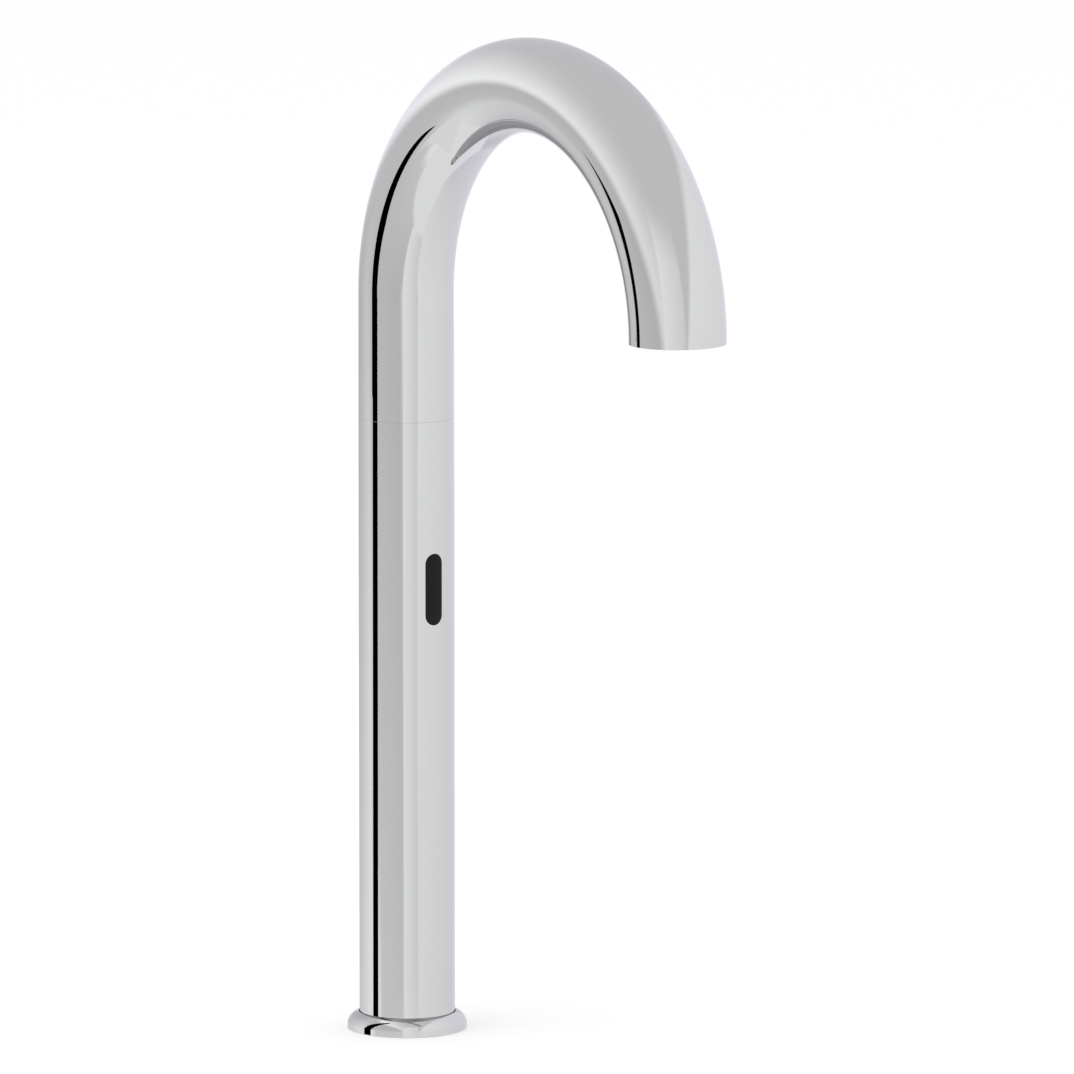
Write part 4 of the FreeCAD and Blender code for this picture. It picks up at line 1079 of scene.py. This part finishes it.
def makeCardGroup():
    # lays one soft-edged card of light over the value that comes in
    labels = ["Azimuth", "Elevation", "Value", *cardInputs.values()]
    tree, at, end = newGroup("softCard", dict.fromkeys(labels, 0.0), ["Value"], False)
    turn = mathNode("WRAP", minus(at["Azimuth"], at["Card azimuth"]), 180.0, -180.0)
    side = over(turn, at["Half width"])
    rise = over(minus(at["Elevation"], at["Card elevation"]), at["Half height"])
    parts = [mathNode("POWER", mathNode("ABSOLUTE", go), at["Corner"]) for go in (side, rise)]
    far = mathNode("POWER", plus(*parts), over(1.0, at["Corner"]))
    inside = times(minus(1.0, far), least(at["Half width"], at["Half height"]))
    inside = plus(over(inside, at["Softness"]), 0.5)
    mask = rangeNode(inside, 0.0, 1.0, 0.0, 1.0, "SMOOTHSTEP")
    tone = timesPlus(side, at["Across"], at["Level"])
    tone = timesPlus(rise, at["Up"], tone)
    change = minus(tone, at["Value"])
    tree.links.new(timesPlus(change, mask, at["Value"]), end["Value"])
    return tree


softCard = makeCardGroup()


def vectorNode(tree, operation, first, second=None):
    node = tree.nodes.new("ShaderNodeVectorMath")
    node.operation = operation
    feed(tree, node.inputs[0], first)
    if second:
        feed(tree, node.inputs[1], second)
    return node.outputs["Value" if operation == "DOT_PRODUCT" else "Vector"]


def bareMaterial(name):
    material = bpy.data.materials.new(name)
    material.use_nodes = True
    tree = material.node_tree
    tree.nodes.clear()
    return material, tree, tree.nodes.new("ShaderNodeOutputMaterial").inputs["Surface"]


def glowMaterial(name):
    # a glow that is left out of the lights, because only mirrors see it
    material, tree, surface = bareMaterial(name)
    material.cycles.emission_sampling = "NONE"
    glow = tree.nodes.new("ShaderNodeEmission")
    tree.links.new(glow.outputs[0], surface)
    return material, tree, glow


def tentMaterial():
    material, tree, glow = glowMaterial("tentCloth")
    place = tree.nodes.new("ShaderNodeTexCoord").outputs["Object"]
    look = vectorNode(tree, "NORMALIZE", vectorNode(tree, "SUBTRACT", place, tent["middle"]))
    right = vectorNode(tree, "DOT_PRODUCT", look, tent["right"])
    toward = vectorNode(tree, "DOT_PRODUCT", look, tent["toward"])
    rise = vectorNode(tree, "DOT_PRODUCT", look, (0.0, 0.0, 1.0))
    azimuth = mathNode("DEGREES", mathNode("ARCTAN2", right, toward))
    elevation = mathNode("DEGREES", mathNode("ARCSINE", rise))

    def lay(value, card):
        values = {cardInputs[key]: number for key, number in card.items()}
        node = groupNode(
            tree, softCard, Azimuth=azimuth, Elevation=elevation, Value=value, **values)
        return node.outputs["Value"]

    value = tent["wall"]
    for label in ("halo", "backLight", "greyWall", "sideWall", "lightDoor", "floorGlow"):
        value = lay(value, cards[label])
    edge = plus(over(minus(tent["floorTop"], elevation), tent["floorSoft"]), 0.5)
    mask = rangeNode(edge, 0.0, 1.0, 0.0, 1.0, "SMOOTHSTEP")
    value = timesPlus(minus(tent["floorLevel"], value), mask, value)
    value = lay(value, cards["window"])
    # painted shade: a mirror image seen in a second mirror is dimmed further than the second mirror
    # alone makes it
    deep = tree.nodes.new("ShaderNodeLightPath").outputs["Glossy Depth"]
    deep = mathNode("GREATER_THAN", deep, tent["secondDepth"])
    value = times(value, timesPlus(deep, tent["paintedSecondShade"] - 1.0, 1.0))
    cool = lay(lay(0.0, cards["coolRight"]), cards["coolLeft"])
    colour = mixColours(tree, cool, tent["plain"], tent["lilac"])
    tree.links.new(colour, glow.inputs["Color"])
    tree.links.new(value, glow.inputs["Strength"])
    return material


def glossOnly(thing):
    # seen by mirrors and by nothing else
    for kind in ("camera", "diffuse", "transmission", "volume_scatter", "shadow"):
        setattr(thing, "visible_" + kind, False)


def pitchTent():
    work = bmesh.new()
    bmesh.ops.create_uvsphere(
        work, u_segments=tent["around"], v_segments=tent["rows"], radius=tent["radius"],
        matrix=Matrix.Translation(tent["middle"]))
    mesh = bpy.data.meshes.new("lightTent")
    work.to_mesh(mesh)
    work.free()
    glossOnly(linkObject("light_tent", mesh, tentMaterial()))


# a black card beside the tap gives the chrome its dark line: corners as (right, toward, up)
flag = [
    (-0.264, 0.012, 0.204), (-0.264, 0.090, 0.221), (-0.264, 0.090, 0.304), (-0.264, 0.012, 0.304)]
# below it a blind of slats, black from beneath and pale from above, so that the column mirrors
# it dark and the arch doesn't
blind = {
    "near": 98.0 * mm,
    "far": 142.0 * mm,
    "top": 267.1 * mm,
    "drop": 20.5 * mm,       # of each slat from its near edge to its far edge
    "spacing": 10.5 * mm,
    "count": 29,
    "topNear": (15.6 * mm, 41.4 * mm),
    "topFar": (17.0 * mm, 55.0 * mm),
    "lowNear": (12.1 * mm, 39.6 * mm),
    "lowFar": (11.9 * mm, 52.4 * mm),
    "level": 0.92,
}
# a small grey card between the column and the outlet keeps the blind out of the outlet's end
outletCard = {
    "corners": [(0.050, 0.119, 0.268), (0.050, 0.1325, 0.268), (0.050, 0.1325, 0.290),
                (0.050, 0.129, 0.303), (0.050, 0.119, 0.303)],
    "level": 0.73,
}


def cardGlow(name, level, dark=False):
    # a card that glows evenly, and is black from behind where dark is set
    material, tree, glow = glowMaterial(name)
    glow.inputs["Strength"].default_value = level
    if dark:
        behind = tree.nodes.new("ShaderNodeNewGeometry").outputs["Backfacing"]
        shown = timesPlus(behind, -level, level)
        tree.links.new(shown, glow.inputs["Strength"])
    return material


def hangCards(name, cards, material):
    # cards of corners given as the camera sees them, wound so that their faces look up or out
    right, toward = Vector(tent["right"]), Vector(tent["toward"])
    points, faces = [], []
    for corners in cards:
        faces.append(tuple(range(len(points), len(points) + len(corners))))
        points += [right * a + toward * b + Vector((0.0, 0.0, c)) for a, b, c in corners]
    glossOnly(linkObject(name, meshFrom(name, points, faces), material))


def hangFlags():
    slats = []
    for i in range(blind["count"]):
        share = i / (blind["count"] - 1)
        near = [a + (b - a) * share for a, b in zip(blind["topNear"], blind["lowNear"])]
        far = [a + (b - a) * share for a, b in zip(blind["topFar"], blind["lowFar"])]
        top = blind["top"] - i * blind["spacing"]
        low = top - blind["drop"]
        slats.append([
            (-blind["near"], near[0], top), (-blind["far"], far[0], low),
            (-blind["far"], far[1], low), (-blind["near"], near[1], top)])
    hangCards("flag_upper", [flag], cardGlow("flagCloth", 0.0))
    hangCards("flag_blind", slats, cardGlow("blindSlats", blind["level"], True))
    hangCards("outlet_card", [outletCard["corners"]], cardGlow("greyCard", outletCard["level"]))


pitchTent()
hangFlags()
print("tent and flags hung")


# pale underfoot, and seen through from below
ground = {
    "colour": (0.8, 0.8, 0.8, 1),
    "lift": (0.30, 0.30, 0.30, 1),
    "level": -0.05 * mm,
    "radii": (17.5 * mm, 60 * mm, 1.0, 12.0),
    "around": 96,
}


def mixShaders(tree, share, first, second):
    node = tree.nodes.new("ShaderNodeMixShader")
    for socket, value in zip(node.inputs, (share, first, second)):
        tree.links.new(value, socket)
    return node.outputs[0]


def floorMaterial():
    material, tree, surface = bareMaterial("paleFloor")
    paint = addNode(tree, "ShaderNodeBsdfDiffuse", Color=ground["colour"]).outputs[0]
    lift = addNode(tree, "ShaderNodeEmission", Color=ground["lift"]).outputs[0]
    both = tree.nodes.new("ShaderNodeAddShader")
    tree.links.new(paint, both.inputs[0])
    tree.links.new(lift, both.inputs[1])
    rays = tree.nodes.new("ShaderNodeLightPath").outputs
    seen = most(rays["Is Camera Ray"], rays["Is Glossy Ray"])
    seen = most(seen, rays["Is Transmission Ray"])
    pale = mixShaders(tree, seen, paint, both.outputs[0])
    below = tree.nodes.new("ShaderNodeNewGeometry").outputs["Backfacing"]
    clear = tree.nodes.new("ShaderNodeBsdfTransparent").outputs[0]
    tree.links.new(mixShaders(tree, below, pale, clear), surface)
    return material


def layFloor():
    points, faces = [], []
    count = ground["around"]
    for r in ground["radii"]:
        for i in range(count):
            a = 2 * math.pi * i / count
            points.append((r * math.cos(a), r * math.sin(a), ground["level"]))
    for k in range(len(ground["radii"]) - 1):
        for i in range(count):
            n = (i + 1) % count
            faces.append((k * count + i, (k + 1) * count + i, (k + 1) * count + n, k * count + n))
    floor = linkObject("studio_floor", meshFrom("studioFloor", points, faces), floorMaterial())
    floor.visible_glossy = False      # the tent holds the floor that the chrome mirrors


layFloor()


print("stage set")
